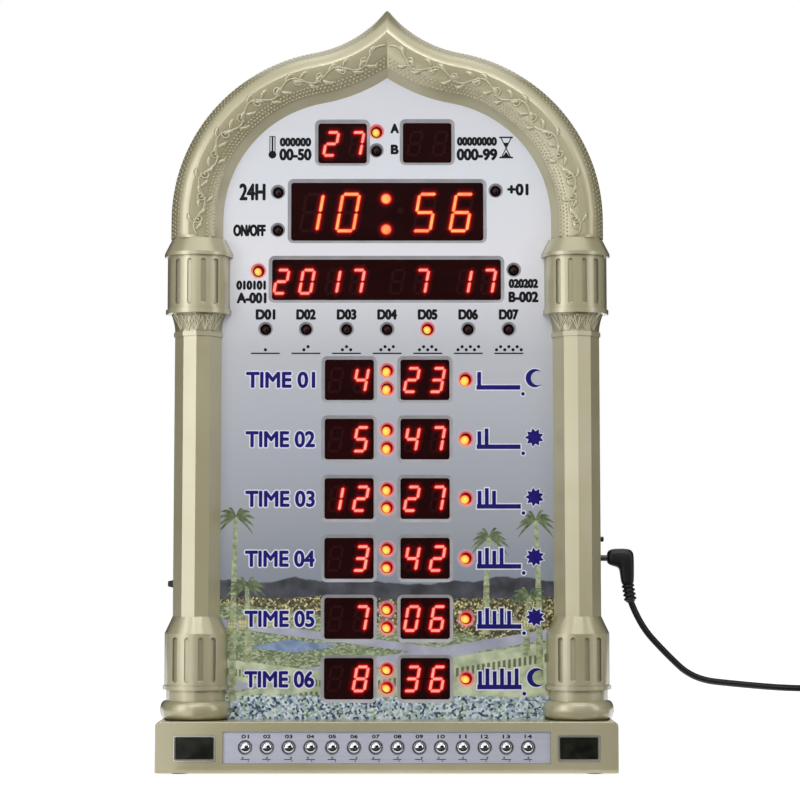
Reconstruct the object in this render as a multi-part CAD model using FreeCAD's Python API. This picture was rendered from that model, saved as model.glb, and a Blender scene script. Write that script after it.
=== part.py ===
"""Azan clock: a free-standing mosque-arch clock with LED displays, fourteen set-up keys and a mains lead.

Millimetres. +Z is up, the dial faces -Y, and the origin is on the floor under the middle of the clock.
Each function below makes one kind of piece; the last section writes one STEP file for each piece.
"""
import FreeCAD
import Part

import math
import os

V = FreeCAD.Vector

# ---------------------------------------------------------------- driving dimensions
# Planes from front to back
BASE_FRONT = -22.0          # front face of the base
PANEL_FRONT = -1.5          # printed face of the dial panel
FRAME_BACK = 2.0            # back plane of columns and arch
REAR_FACE = 22.5            # outer face of the rear cover and of the base
PANEL_T = 2.5               # thickness of the dial panel

# Base
FOOT_PROUD = 1.0            # how far the rubber feet stand out below the base
FOOT_SUNK = 0.8             # how deep they sit in the base plate
FOOT_R = 5.0
FOOT_IN = 13.0              # foot to the end of the base
FOOT_Y = 11.0
BASE_W = 262.0
BASE_H = 28.8
BASE_WALL = 2.4
BASE_CORNER_R = 3.0
BASE_EDGE_R = 0.8
BASE_PLATE_T = 2.0
PLATE_GAP = 0.15            # between the base plate and the housing's walls
PLATE_SCREW_IN = 31.0       # the plate's screws to the end of the base
PLATE_SCREW_YS = (-4.0, 12.0)

# Columns
COLUMN_IN = 21.0            # column axis to the end of the base
SHAFT_HALF = 13.6           # plan of the faceted shaft
SHAFT_FRONT = 13.5
SHAFT_KNEE_X = 7.7
SHAFT_KNEE_Y = 10.5
DRUM_HALF = 18.2            # plan of the fluted drums and their rings
DRUM_FRONT = 17.2
DRUM_KNEE_X = 14.0
DRUM_KNEE_Y = 12.2
SIDE_Y = 1.5                # where the plan's slanting sides turn straight back
TORUS_H = 10.7              # heights of the members, from the base up
NECK_H = 6.3
LOWER_RING_H = 2.4
LOWER_DRUM_H = 29.6
CONE_H = 9.8
SHAFT_H = 161.6
SHAFT_RING_H = 2.7
BELL_H = 10.5
UPPER_RING_H = 2.8
UPPER_DRUM_H = 30.8
COLLAR_LIP_H = 2.0
COLLAR_H = 8.4
NECK_IN = 1.2               # offsets of the members from the drum plan, in or out
RING_OUT = 0.9
TORUS_END_IN = 0.6
TORUS_BULGE = 2.8
LIP_OUT = 1.8
COLLAR_TOP_IN = 2.3
SHAFT_RING_OUT = 0.7        # offset of the ring over the shaft from the shaft plan
FLUTE_R = 1.45
FLUTE_INNER_X = 4.0         # flutes either side of the drum's front edge
FLUTE_OUTER_X = 10.9
FLUTE_END = 2.0             # plain margin above and below a flute

# Arch: a big arc and a reversed arc on each side, meeting in a point
ARCH_OUT = 1.1              # middle of the moulding where it springs, outwards of the column axis
ARCH_W = 30.4               # width of the moulding
ARCH_CENTRE_X = 25.1        # centres of the big arcs, each side of the clock's middle
ARCH_STILT = 11.6           # straight stretch below the big arc's centre
REVERSE_R = 84.6            # reversed arc, at the middle of the moulding
REVERSE_START = 10.2        # degrees short of the top where the curve reverses
POINT_R = 3.5               # rounding of the arch's point
ARCH_FRONT = 13.4           # crest of the moulding, in front of the column axis
CREST_AT = 4.0              # crest, outwards from the middle of the moulding
SLOPE_W = 4.2               # inner slope's width and its height over the column axis
SLOPE_TOP = 8.0
INNER_ROUND_RISE = 0.08     # bulge of the long inner round, as a share of its chord
OUTER_ROUND_OUT = 0.71      # a point half way along the steep outer round, as shares
OUTER_ROUND_BACK = 0.36     # of its width and of its depth

# Dial panel
PANEL_LAP = 1.8             # how far the panel runs in behind columns and arch
PANEL_GAP = 0.2             # clearance round the panel in its rebate
SMALL_WINDOW = (28.6, 23.7)
TIME_WINDOW = (112.8, 34.3)
DATE_WINDOW = (134.0, 23.9)
WINDOW_R = 1.6
WINDOW_BEVEL = 1.9
ROWS = 6
ROW_RISE = 22.8             # lowest schedule row over the base
ROWS_TO_WEEKDAYS = 29.5     # highest schedule row to the weekday lamps
ROW_WINDOW_X = 22.05
TEMPERATURE_PLACE = (-26.3, 46.3)   # windows in the arch's head: across, and over the big arcs' centres
COUNTDOWN_PLACE = (23.5, 46.6)
TIME_PLACE = (0.0, 5.7)
DATE_PLACE = (-0.4, -34.6)
LAMP_R = 2.5                # 5 mm LEDs
LAMP_RING = 0.7             # gap round a lamp in its hole
LAMP_BEVEL = 1.1
LAMP_TIP_IN = 0.6           # how far a lamp's tip lies behind the panel's face
LAMP_L = 8.6
LAMP_FLANGE = 0.4           # a lamp's flange outside its dome
LAMP_FLANGE_T = 1.0
COLON_HALF = 5.25           # a colon lamp above or below its row's middle
ROW_LAMP_GAP = 9.35         # a row's last window to the lamp beside it
WEEKDAYS = 7
WEEKDAY_PITCH = 23.65
WEEKDAY_DROP = 63.9         # weekday lamps below the big arcs' centres
SCALE_LAMPS = ((5.7, 6.6), (5.7, -4.6))     # lamps beside a window: from its edge, and over its middle
HALF_DAY_LAMP = (7.6, 11.3)
ALARM_LAMP = (7.6, -11.2)
SUMMER_LAMP = (7.2, 12.1)
FIRST_CALENDAR_LAMP = (7.9, 5.0)
SECOND_CALENDAR_LAMP = (7.4, 5.6)

# Displays and boards behind the panel
FILTER_T = 1.2
FILTER_LAP = 1.6            # a filter's overlap round its window
MODULE_D = 8.0              # depth of a digit module
BOARD_T = 1.6
BOARD_MARGIN = 15.0         # display board beyond the date window, either side
BOARD_RISE = 8.2            # its lower edge over the base
BOARD_HEAD = 61.0           # its upper edge over the big arcs' centres
BOARD_CORNER = 30.0         # clipped upper corners
CHIP = (18.0, 7.5, 2.4)
CHIPS = ((-30.0, 112.0), (30.0, 112.0), (-30.0, 182.0), (30.0, 182.0), (0.0, 267.0))    # over its lower edge
CELL_PLACE = (42.0, 224.0)
CELL_R = 10.0
CELL_GAP = 0.08             # round the cell in its holder
CELL_T = 3.2
CELL_RIM = 1.4
SPEAKER_RISE = 62.2         # speaker over the base
SPEAKER_R = 22.0
SPEAKER_RIM_T = 2.0
SPEAKER_CONE_R = 18.0
SPEAKER_CONE_D = 2.5
SPEAKER_MAGNET_R = 10.0
SPEAKER_FREE = 1.5          # magnet to the display board

# Rear cover
COVER_OUT = 11.9            # side wall outwards of the middle of the arch's moulding
COVER_WALL = 2.2
GRILLE_PITCH = 5.0
GRILLE_SLOTS = 7
GRILLE_SLOT_W = 2.0
GRILLE_SLOT_R = 0.9         # rounding of a slot's ends
GRILLE_R = 19.0
HANGER_X = 60.0             # keyholes for two wall screws
HANGER_RISE = 26.0          # over the big arcs' centres
HANGER_HEAD_R = 4.2
HANGER_SLOT_R = 2.2
HANGER_SLOT_L = 9.0
SCREW_R = 1.45
SCREW_HOLE_GAP = 0.15       # round a shank that only passes through
SCREW_HEAD_R = 2.8
SCREW_HEAD_T = 1.8
SCREW_SUNK = 0.3            # a head behind the outer face
SHORT_SCREW_L = 6.6         # shank of the screws in the base and the boards
LONG_SCREW_L = 23.4         # shank of the screws through the rear cover
BOSS_R = 4.0
COVER_SCREW_RISES = (42.2, 175.2)       # over the base
TOP_SCREW_ANGLE = 35.0      # place of the arch's screws on the big arc
BOARD_SCREW_IN = 10.0       # board screws to the board's side edges
BOARD_SCREW_RISES = (18.0, 167.0)       # over the board's lower edge
BOARD_SCREW_DROP = 35.0     # the highest ones below its upper edge

# Key strip in the base
KEYS = 14
KEY_DROP = 0.2              # keys and strip below the middle of the base's front
KEY_R = 3.55
KEY_TIP_PROUD = 0.5         # the domes stand out of the base's face
KEY_DOME_H = 2.2
KEY_GUIDE_GAP = 0.08        # radial clearance in the guide holes
KEY_FLANGE = 0.85           # a key's flange outside its dome
KEY_FLANGE_T = 1.0
KEY_FLANGE_GAP = 0.3
KEY_TRAVEL = 0.8
STEM_R = 1.7
STEM_FREE = 0.3             # left under the stem when the key is fully pressed
STRIP_TO_SENSOR = 4.0       # strip to sensor window
STRIP_END = 12.65           # strip's end to the first key
STRIP_H = 17.9
STRIP_T = 0.6
STRIP_SUNK = 1.2            # face of the strip behind the base's face
STRIP_RING = 0.65           # gap round a key in the strip
STRIP_BACKING_T = 2.4
STRIP_GAP = 0.1
SWITCH_SIZE = 6.0
SWITCH_D = 3.8
SWITCH_BORE_GAP = 0.1       # round a stem in its switch
SWITCH_BORE_D = 2.6
SWITCH_GAP = 1.5            # key flange to tact switch
KEY_BOARD_IN = 13.0         # key board to the end of the base
KEY_BOARD_H = 16.0
KEY_BOARD_SCREW_GAP = 7.6   # its screws to the sensor windows

# Ribbon cable between the key board and the display board
RIBBON_X = 60.0
RIBBON_W = 20.0
RIBBON_T = 0.9
RIBBON_BEND = 3.0
RIBBON_GAP = 0.6            # round the cable in its slots
CONNECTOR_W = 24.0
CONNECTOR_H = 6.0
CONNECTOR_D = 3.6

# Sensor windows in the base
SENSOR_IN = 22.4            # middle of a window to the end of the base
SENSOR_DROP = 0.7           # and below the middle of the base's front
SENSOR_W = 24.0
SENSOR_H = 14.7
SENSOR_RIM = 1.3
SENSOR_RIM_PROUD = 0.3
SENSOR_PANE_SUNK = 0.9
SENSOR_PANE_T = 1.2
SENSOR_FIT = 0.1
EYE_BODY = (5.6, 5.0, 7.0)  # remote control receiver behind the left window
EYE_R = 1.8

# Side controls and power inlet
SIDE_CONTROL_Y = 12.0       # all three lie on one line of the cover's side wall
JACK_RISE = 92.2            # heights over the base
JACK_NOSE_R = 3.9
JACK_BODY = (12.0, 9.0, 11.0)
JACK_LIP = 0.4
JACK_GAP = 0.05
BARREL_R = 1.75             # 3.5 mm power barrel
BARREL_GAP = 0.05           # round the barrel in the jack
BARREL_BORE_R = 0.675
CENTRE_PIN_GAP = 0.055      # round the jack's pin in the barrel
BARREL_L = 11.5
BARREL_SHOWS = 5.2          # length of barrel outside the jack
JACK_BORE_END = 1.5         # free depth beyond the barrel's tip
RESET_RISE = 103.2
RESET_R = 1.5
RESET_PROUD = 3.6
RESET_TRAVEL = 0.5
RESET_GUIDE_GAP = 0.08
RESET_TIP_R = 0.5
RESET_BODY = (7.0, 6.0, 6.0)
SLIDER_RISE = 77.2
SLIDER_TRAVEL = 2.0         # either way
SLIDER_H = 5.4
SLIDER_W = 3.0
SLIDER_PROUD = 4.9
SLIDER_TIP_H = 3.0
SLIDER_BODY = (7.0, 7.0, 18.0)
SLIDER_GAP = 0.2

# Plug, lead and mains adapter
PLUG_R = 5.3
PLUG_STEM_TOP_R = 4.1
PLUG_D = 9.0                # front to back
PLUG_STEM_END_R = 3.25
PLUG_STEM_DROP = 14.3       # plug axis to the end of the stem
PLUG_ROUND = 2.0
PLUG_STEM_OUT = 11.6        # plug face to the stem's axis
BOOT_L = 10.8
BOOT_TILT = 10.0
BOOT_RIBS = 4
BOOT_RIB_R = 3.4
BOOT_CORE_R = 2.35
BOOT_RIB_T = 1.5
CORD_R = 1.9
CORD_ARC_SHARE = 0.45       # an arc's share of the shorter run beside it
COIL_X = 275.0
COIL_Y = 6.0
COIL_R = 22.5               # middle of the turns
COIL_COLUMNS = 4            # turns side by side
COIL_LAYERS = 2             # turns on each other
ADAPTER_SIZE = (64.0, 42.0, 38.0)
ADAPTER_FORWARD = 9.0       # the adapter's middle in front of the coil's, which lies on it
ADAPTER_ROUND = 4.0
RELIEF_Z = 15.0             # the adapter's strain relief
RELIEF_L = 9.0
RELIEF_R = 3.2
RELIEF_TIP_R = 2.3
MAINS_PIN_R = 2.0
MAINS_PIN_L = 19.0
MAINS_PIN_PITCH = 19.0

# ---------------------------------------------------------------- heights and planes worked out from them
BASE_LOW = FOOT_PROUD
BASE_TOP = BASE_LOW + BASE_H
MEMBER_HEIGHTS = (TORUS_H, NECK_H, LOWER_RING_H, LOWER_DRUM_H, CONE_H, SHAFT_H, SHAFT_RING_H,
                  BELL_H, UPPER_RING_H, UPPER_DRUM_H, COLLAR_LIP_H, COLLAR_H)
LEVELS = [BASE_TOP + sum(MEMBER_HEIGHTS[:count]) for count in range(len(MEMBER_HEIGHTS) + 1)]
(TORUS_Z, NECK_Z, LOWER_RING_Z, LOWER_DRUM_Z, CONE_Z, SHAFT_Z, SHAFT_RING_Z,
 BELL_Z, UPPER_RING_Z, UPPER_DRUM_Z, LIP_Z, COLLAR_Z, SPRING_Z) = LEVELS
ARC_Z = SPRING_Z + ARCH_STILT
COLUMN_X = BASE_W / 2 - COLUMN_IN
ARCH_X = COLUMN_X + ARCH_OUT
ARCH_R = ARCH_X - ARCH_CENTRE_X     # big arc, at the middle of the moulding
COVER_HALF = ARCH_X + COVER_OUT
FRONT_MIDDLE = BASE_LOW + BASE_H / 2
PANEL_BACK = PANEL_FRONT + PANEL_T
FILTER_BACK = PANEL_BACK + FILTER_T
BOARD_FRONT = FILTER_BACK + MODULE_D
BOARD_BACK = BOARD_FRONT + BOARD_T
COVER_INNER = REAR_FACE - COVER_WALL
SCREW_HOLE_R = SCREW_R + SCREW_HOLE_GAP
HEAD_BED = REAR_FACE - SCREW_SUNK - SCREW_HEAD_T
PLATE_HEAD_BED = SCREW_SUNK + SCREW_HEAD_T
STRIP_FACE = BASE_FRONT + STRIP_SUNK
STRIP_BED = STRIP_FACE + STRIP_T
BACKING_BACK = STRIP_BED + STRIP_BACKING_T
FLANGE_FRONT = BACKING_BACK + KEY_FLANGE_GAP
FLANGE_BACK = FLANGE_FRONT + KEY_FLANGE_T
SWITCH_FRONT = FLANGE_BACK + SWITCH_GAP
KEY_BOARD_FRONT = SWITCH_FRONT + SWITCH_D
KEY_BOARD_BACK = KEY_BOARD_FRONT + BOARD_T
RIBBON_Y = BOARD_FRONT - CONNECTOR_D / 2
SENSOR_X = BASE_W / 2 - SENSOR_IN
SENSOR_Z = FRONT_MIDDLE - SENSOR_DROP
STRIP_W = 2 * (SENSOR_X - SENSOR_W / 2 - STRIP_TO_SENSOR)
KEY_Z = FRONT_MIDDLE - KEY_DROP
KEY_PITCH = (STRIP_W - 2 * STRIP_END) / (KEYS - 1)
KEY_BOARD_SCREW_X = SENSOR_X - SENSOR_W / 2 - KEY_BOARD_SCREW_GAP
BOARD_W = DATE_WINDOW[0] + 2 * BOARD_MARGIN
BOARD_LOW = BASE_TOP + BOARD_RISE
BOARD_TOP = ARC_Z + BOARD_HEAD
SPEAKER_Z = BASE_TOP + SPEAKER_RISE
HANGER_Z = ARC_Z + HANGER_RISE
JACK_Z = BASE_TOP + JACK_RISE
RESET_Z = BASE_TOP + RESET_RISE
SLIDER_Z = BASE_TOP + SLIDER_RISE
JACK_FACE = COVER_HALF + JACK_LIP
PLUG_FACE = JACK_FACE + BARREL_SHOWS
STEM_X = PLUG_FACE + PLUG_STEM_OUT


# ---------------------------------------------------------------- shape helpers
def box(x0, x1, y0, y1, z0, z1):
    return Part.makeBox(x1 - x0, y1 - y0, z1 - z0, V(x0, y0, z0))


def rod(radius, length, start, direction):
    return Part.makeCylinder(radius, length, V(*start), V(*direction))


def polygon(points):
    return Part.makePolygon([V(*p) for p in list(points) + [points[0]]])


def fused(solids):
    whole = solids[0].multiFuse(solids[1:]) if len(solids) > 1 else solids[0]
    return whole.removeSplitter()


def group(solids):
    return Part.makeCompound(solids)


def mirrored(shape):
    return shape.mirror(V(0, 0, 0), V(1, 0, 0))


def round_rect(width, height, radius, centre, y):
    """A rounded rectangle in the plane at y, seen from the front."""
    cx, cz = centre
    hw, hh = width / 2, height / 2
    corners = ((hw - radius, hh - radius, 0), (radius - hw, hh - radius, 90),
               (radius - hw, radius - hh, 180), (hw - radius, radius - hh, 270))
    edges = []
    ends = []
    for dx, dz, start in corners:
        ring = [V(cx + dx + radius * math.cos(math.radians(start + turn)), y,
                  cz + dz + radius * math.sin(math.radians(start + turn))) for turn in (0, 45, 90)]
        ends.append((ring[0], ring[2]))
        edges.append(Part.Arc(*ring).toShape())
    for this, after in zip(ends, ends[1:] + ends[:1]):
        edges.append(Part.LineSegment(this[1], after[0]).toShape())
    return Part.Wire(Part.__sortEdges__(edges))


def plate(wire, depth):
    return Part.Face(wire).extrude(V(0, depth, 0))


def domed(x, z, tip, dome_h, steps):
    """A round piece on an axis along Y: a domed tip at the front, then (radius, y) steps to its back."""
    radius, shoulder = steps[0]
    sphere_r = (radius ** 2 + dome_h ** 2) / (2 * dome_h)
    lean = math.asin(min(1, radius / sphere_r)) / 2
    crown = V(x + sphere_r * math.sin(lean), tip + sphere_r * (1 - math.cos(lean)), z)
    points = [V(x + out, y, z) for out, y in steps + [(0, steps[-1][1]), (0, tip)]]
    edges = [Part.Arc(points[-1], crown, points[0]).toShape()]
    edges += [Part.LineSegment(a, b).toShape() for a, b in zip(points, points[1:])]
    return Part.Face(Part.Wire(edges)).revolve(V(x, 0, z), V(0, 1, 0), 360)


def screw(bed, direction, length):
    """A pan-headed screw whose head rests at bed and whose shank points in the direction."""
    head = rod(SCREW_HEAD_R, SCREW_HEAD_T, bed, [-way for way in direction])
    return fused([head, rod(SCREW_R, length, bed, direction)])


def screw_pilot(bed, direction, length):
    """The hole that such a screw's shank fills."""
    return rod(SCREW_R, length, bed, direction)


def grown(points, grow):
    """A convex outline moved out by grow, with mitred corners."""
    moved = []
    count = len(points)
    for index in range(count):
        before, here, after = points[index - 1], points[index], points[(index + 1) % count]
        sides = []
        for a, b in ((before, here), (here, after)):
            length = math.hypot(b[0] - a[0], b[1] - a[1])
            sides.append(((b[1] - a[1]) / length, -(b[0] - a[0]) / length))
        (ax, ay), (bx, by) = sides
        reach = grow / (1 + ax * bx + ay * by)
        moved.append((here[0] + (ax + bx) * reach, here[1] + (ay + by) * reach))
    return moved


# ---------------------------------------------------------------- columns
def plan(half, front, knee_x, knee_y):
    """Half-column outline seen from above: two facets each side of the front edge, then straight back."""
    back = FRAME_BACK + ARCH_FRONT
    return [(0, -front), (knee_x, -knee_y), (half, -SIDE_Y), (half, back),
            (-half, back), (-half, -SIDE_Y), (-knee_x, -knee_y)]


SHAFT_PLAN = plan(SHAFT_HALF, SHAFT_FRONT, SHAFT_KNEE_X, SHAFT_KNEE_Y)
DRUM_PLAN = plan(DRUM_HALF, DRUM_FRONT, DRUM_KNEE_X, DRUM_KNEE_Y)


def member(sections):
    """One member of a column, through (outline, offset, height) sections."""
    wires = [polygon([(x, y, z) for x, y in grown(outline, grow)]) for outline, grow, z in sections]
    return Part.makeLoft(wires, True, len(sections) == 2)


def band(outline, grow, low, high):
    return member([(outline, grow, low), (outline, grow, high)])


def torus():
    steps = 6
    sections = []
    for step in range(steps + 1):
        angle = math.pi * step / steps
        height = TORUS_Z + TORUS_H * (1 - math.cos(angle)) / 2
        sections.append((DRUM_PLAN, TORUS_BULGE * math.sin(angle) - TORUS_END_IN, height))
    return member(sections)


def bell():
    """The concave bell under the upper drum, from the shaft's plan to the drum's."""
    steps = 3
    sections = []
    for step in range(steps + 1):
        rise = step / steps
        share = rise ** 2
        outline = [(sx + (dx - sx) * share, sy + (dy - sy) * share)
                   for (sx, sy), (dx, dy) in zip(SHAFT_PLAN, grown(DRUM_PLAN, -COLLAR_TOP_IN))]
        sections.append((outline, 0, BELL_Z + BELL_H * rise))
    return member(sections)


def flute(x, low, high):
    """A round-ended groove cutter with its axis just under the drum's front facet."""
    slope = (DRUM_FRONT - DRUM_KNEE_Y) / DRUM_KNEE_X
    y = abs(x) * slope - DRUM_FRONT
    first, last = low + FLUTE_END + FLUTE_R, high - FLUTE_END - FLUTE_R
    groove = rod(FLUTE_R, last - first, (x, y, first), (0, 0, 1))
    ends = [Part.makeSphere(FLUTE_R, V(x, y, z)) for z in (first, last)]
    return groove.multiFuse(ends)


def column():
    """The left column about its own axis, before its panel rebate and screw holes are cut."""
    shaft_ring = (SHAFT_PLAN, SHAFT_RING_OUT)
    members = [
        torus(),
        band(DRUM_PLAN, -NECK_IN, NECK_Z, LOWER_RING_Z),
        band(DRUM_PLAN, RING_OUT, LOWER_RING_Z, LOWER_DRUM_Z),
        band(DRUM_PLAN, 0, LOWER_DRUM_Z, CONE_Z),
        member([(DRUM_PLAN, 0, CONE_Z), (SHAFT_PLAN, 0, SHAFT_Z)]),
        band(SHAFT_PLAN, 0, SHAFT_Z, SHAFT_RING_Z),
        band(*shaft_ring, SHAFT_RING_Z, BELL_Z),
        bell(),
        band(DRUM_PLAN, RING_OUT, UPPER_RING_Z, UPPER_DRUM_Z),
        band(DRUM_PLAN, 0, UPPER_DRUM_Z, LIP_Z),
        band(DRUM_PLAN, LIP_OUT, LIP_Z, COLLAR_Z),
        member([(DRUM_PLAN, LIP_OUT, COLLAR_Z), (DRUM_PLAN, -COLLAR_TOP_IN, SPRING_Z)]),
    ]
    whole = fused(members)
    flutes = []
    for low, high in ((LOWER_DRUM_Z, CONE_Z), (UPPER_DRUM_Z, LIP_Z)):
        for x in (-FLUTE_OUTER_X, -FLUTE_INNER_X, FLUTE_INNER_X, FLUTE_OUTER_X):
            flutes.append(flute(x, low, high))
    reach = DRUM_HALF + TORUS_BULGE + LIP_OUT
    behind = box(-reach, reach, FRAME_BACK, FRAME_BACK + 2 * ARCH_FRONT, TORUS_Z, SPRING_Z)
    return whole.cut(flutes + [behind])


# ---------------------------------------------------------------- arch
BIG_CENTRE = (-ARCH_CENTRE_X, ARC_Z)
TURN = math.radians(REVERSE_START)
REVERSE_CENTRE = (BIG_CENTRE[0] - (ARCH_R + REVERSE_R) * math.sin(TURN),
                  BIG_CENTRE[1] + (ARCH_R + REVERSE_R) * math.cos(TURN))


def arch_line(offset, low, y):
    """Closed outline at y that follows the arch, offset outwards from the middle of its moulding."""
    big, reverse = ARCH_R + offset, REVERSE_R - offset
    (bx, bz), (rx, rz) = BIG_CENTRE, REVERSE_CENTRE
    side = V(bx - big, y, bz)
    foot = V(bx - big, y, low)
    lean = TURN + math.pi / 2
    shoulder = V(bx - big * math.sin(lean / 2), y, bz + big * math.cos(lean / 2))
    junction = V(bx - big * math.sin(TURN), y, bz + big * math.cos(TURN))
    tip_angle = math.asin(-rx / reverse)
    tip = V(0, y, rz - reverse * math.cos(tip_angle))
    middle = (TURN + tip_angle) / 2
    hollow = V(rx + reverse * math.sin(middle), y, rz - reverse * math.cos(middle))
    left = [Part.LineSegment(foot, side).toShape(), Part.Arc(side, shoulder, junction).toShape(),
            Part.Arc(junction, hollow, tip).toShape()]
    right = [mirrored(edge) for edge in left]
    floor = Part.LineSegment(foot, V(-foot.x, y, low)).toShape()
    return Part.Wire(Part.__sortEdges__(left + right + [floor]))


def moulding_face():
    """Section of the arch at its springing: steep outer round, long inner round and a narrow inner slope."""
    half = ARCH_W / 2

    def at(outwards, y):
        return V(-ARCH_X - outwards, y, ARC_Z)

    inner_foot, inner_edge = at(-half, FRAME_BACK), at(-half, PANEL_FRONT)
    slope_top = at(SLOPE_W - half, -SLOPE_TOP)
    crest = at(CREST_AT, -ARCH_FRONT)
    outer_edge, outer_foot = at(half, PANEL_FRONT), at(half, FRAME_BACK)
    span = CREST_AT - SLOPE_W + half
    fall = ARCH_FRONT - SLOPE_TOP
    inner_round = at(CREST_AT - span / 2 - INNER_ROUND_RISE * fall,
                     -ARCH_FRONT + fall / 2 - INNER_ROUND_RISE * span)
    outer_round = at(CREST_AT + OUTER_ROUND_OUT * (half - CREST_AT),
                     -ARCH_FRONT + OUTER_ROUND_BACK * (ARCH_FRONT + PANEL_FRONT))
    edges = [Part.LineSegment(inner_foot, inner_edge).toShape(),
             Part.LineSegment(inner_edge, slope_top).toShape(),
             Part.Arc(slope_top, inner_round, crest).toShape(),
             Part.Arc(crest, outer_round, outer_edge).toShape(),
             Part.LineSegment(outer_edge, outer_foot).toShape(),
             Part.LineSegment(outer_foot, inner_foot).toShape()]
    return Part.Face(Part.Wire(edges))


def arch():
    """The pointed horseshoe arch, one moulding that stands on both columns."""
    face = moulding_face()
    stilt = face.extrude(V(0, 0, SPRING_Z - ARC_Z))
    (bx, bz), (rx, rz) = BIG_CENTRE, REVERSE_CENTRE
    big = face.revolve(V(bx, 0, bz), V(0, 1, 0), 90 - REVERSE_START)
    turned = face.copy()
    turned.rotate(V(bx, 0, bz), V(0, 1, 0), 90 - REVERSE_START)
    sweep = math.degrees(math.asin(-rx / (REVERSE_R - ARCH_W / 2))) - REVERSE_START + 1
    reverse = turned.revolve(V(rx, 0, rz), V(0, -1, 0), sweep)
    left_side = box(-2 * ARCH_X, 0, -2 * ARCH_FRONT, 2 * FRAME_BACK, ARC_Z, rz)
    left = fused([stilt, big, reverse.common(left_side)])
    whole = fused([left, mirrored(left)])
    outer = REVERSE_R - ARCH_W / 2
    apex = rz - math.sqrt(outer ** 2 - rx ** 2)
    lean = math.asin(-rx / outer)
    centre = apex - POINT_R / math.cos(lean)
    rise = POINT_R * math.cos(lean)
    tip = box(-POINT_R, POINT_R, -2 * ARCH_FRONT, 2 * FRAME_BACK, centre + rise, apex + POINT_R)
    return whole.cut(tip.cut(rod(POINT_R, 4 * ARCH_FRONT, (0, -2 * ARCH_FRONT, centre), (0, 1, 0))))


# ---------------------------------------------------------------- what the frame carries
def panel_rebate():
    lap = PANEL_LAP + PANEL_GAP - ARCH_W / 2
    return plate(arch_line(lap, BASE_TOP, PANEL_FRONT), FRAME_BACK - PANEL_FRONT)


def frame_screw_places():
    """Where the rear cover's screws enter the columns and the arch: (x, z)."""
    angle = math.radians(TOP_SCREW_ANGLE)
    top = (BIG_CENTRE[0] - ARCH_R * math.cos(angle), BIG_CENTRE[1] + ARCH_R * math.sin(angle))
    left = [(-COLUMN_X, BASE_TOP + rise) for rise in COVER_SCREW_RISES] + [top]
    return left + [(-x, z) for x, z in left]


def screw_pilots():
    return [screw_pilot((x, HEAD_BED, z), (0, -1, 0), LONG_SCREW_L) for x, z in frame_screw_places()]


def in_head(place):
    """A place in the arch's head, given from the height of the big arcs' centres."""
    return place[0], ARC_Z + place[1]


def beside(at, size, side, place):
    """A lamp's place left (-1) or right (1) of a window."""
    return at[0] + side * (size[0] / 2 + place[0]), at[1] + place[1]


WEEKDAY_Z = ARC_Z - WEEKDAY_DROP
ROW_LOW = BASE_TOP + ROW_RISE
ROW_PITCH = (WEEKDAY_Z - ROWS_TO_WEEKDAYS - ROW_LOW) / (ROWS - 1)
ROW_ZS = [ROW_LOW + ROW_PITCH * row for row in range(ROWS)]
ROW_WINDOWS = [(x, z) for z in ROW_ZS for x in (-ROW_WINDOW_X, ROW_WINDOW_X)]
TEMPERATURE_AT = in_head(TEMPERATURE_PLACE)
COUNTDOWN_AT = in_head(COUNTDOWN_PLACE)
TIME_AT = in_head(TIME_PLACE)
DATE_AT = in_head(DATE_PLACE)
WINDOWS = ([(at, SMALL_WINDOW) for at in ROW_WINDOWS + [TEMPERATURE_AT, COUNTDOWN_AT]]
           + [(TIME_AT, TIME_WINDOW), (DATE_AT, DATE_WINDOW)])
COLON_LAMPS = [(0.0, z + step) for z in ROW_ZS for step in (-COLON_HALF, COLON_HALF)]
ROW_LAMPS = [beside((ROW_WINDOW_X, z), SMALL_WINDOW, 1, (ROW_LAMP_GAP, 0)) for z in ROW_ZS]
WEEKDAY_LAMPS = [((day - (WEEKDAYS - 1) / 2) * WEEKDAY_PITCH, WEEKDAY_Z) for day in range(WEEKDAYS)]
MODE_LAMPS = [beside(TEMPERATURE_AT, SMALL_WINDOW, 1, place) for place in SCALE_LAMPS]
MODE_LAMPS += [beside(TIME_AT, TIME_WINDOW, -1, place) for place in (HALF_DAY_LAMP, ALARM_LAMP)]
MODE_LAMPS += [beside(TIME_AT, TIME_WINDOW, 1, SUMMER_LAMP),
               beside(DATE_AT, DATE_WINDOW, -1, FIRST_CALENDAR_LAMP),
               beside(DATE_AT, DATE_WINDOW, 1, SECOND_CALENDAR_LAMP)]


def window_cutter(at, size):
    """A window's opening, bevelled through the panel from its wide front edge."""
    width, height = size
    bevel = WINDOW_BEVEL
    front = round_rect(width + 2 * bevel, height + 2 * bevel, WINDOW_R + bevel, at, PANEL_FRONT)
    back = round_rect(width, height, WINDOW_R, at, PANEL_BACK)
    return Part.makeLoft([front, back], True, True)


def lamp_cutter(at):
    x, z = at
    hole_r = LAMP_R + LAMP_RING
    return Part.makeCone(hole_r + LAMP_BEVEL, hole_r, PANEL_T, V(x, PANEL_FRONT, z), V(0, 1, 0))


def dial_panel():
    blank = plate(arch_line(PANEL_LAP - ARCH_W / 2, BASE_TOP, PANEL_FRONT), PANEL_T)
    cutters = [window_cutter(at, size) for at, size in WINDOWS]
    cutters += [lamp_cutter(at) for at in COLON_LAMPS + ROW_LAMPS + WEEKDAY_LAMPS + MODE_LAMPS]
    return blank.cut(group(cutters))


def filter_pane(at, size):
    return plate(round_rect(size[0] + 2 * FILTER_LAP, size[1] + 2 * FILTER_LAP, WINDOW_R, at, PANEL_BACK),
                 FILTER_T)


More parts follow.
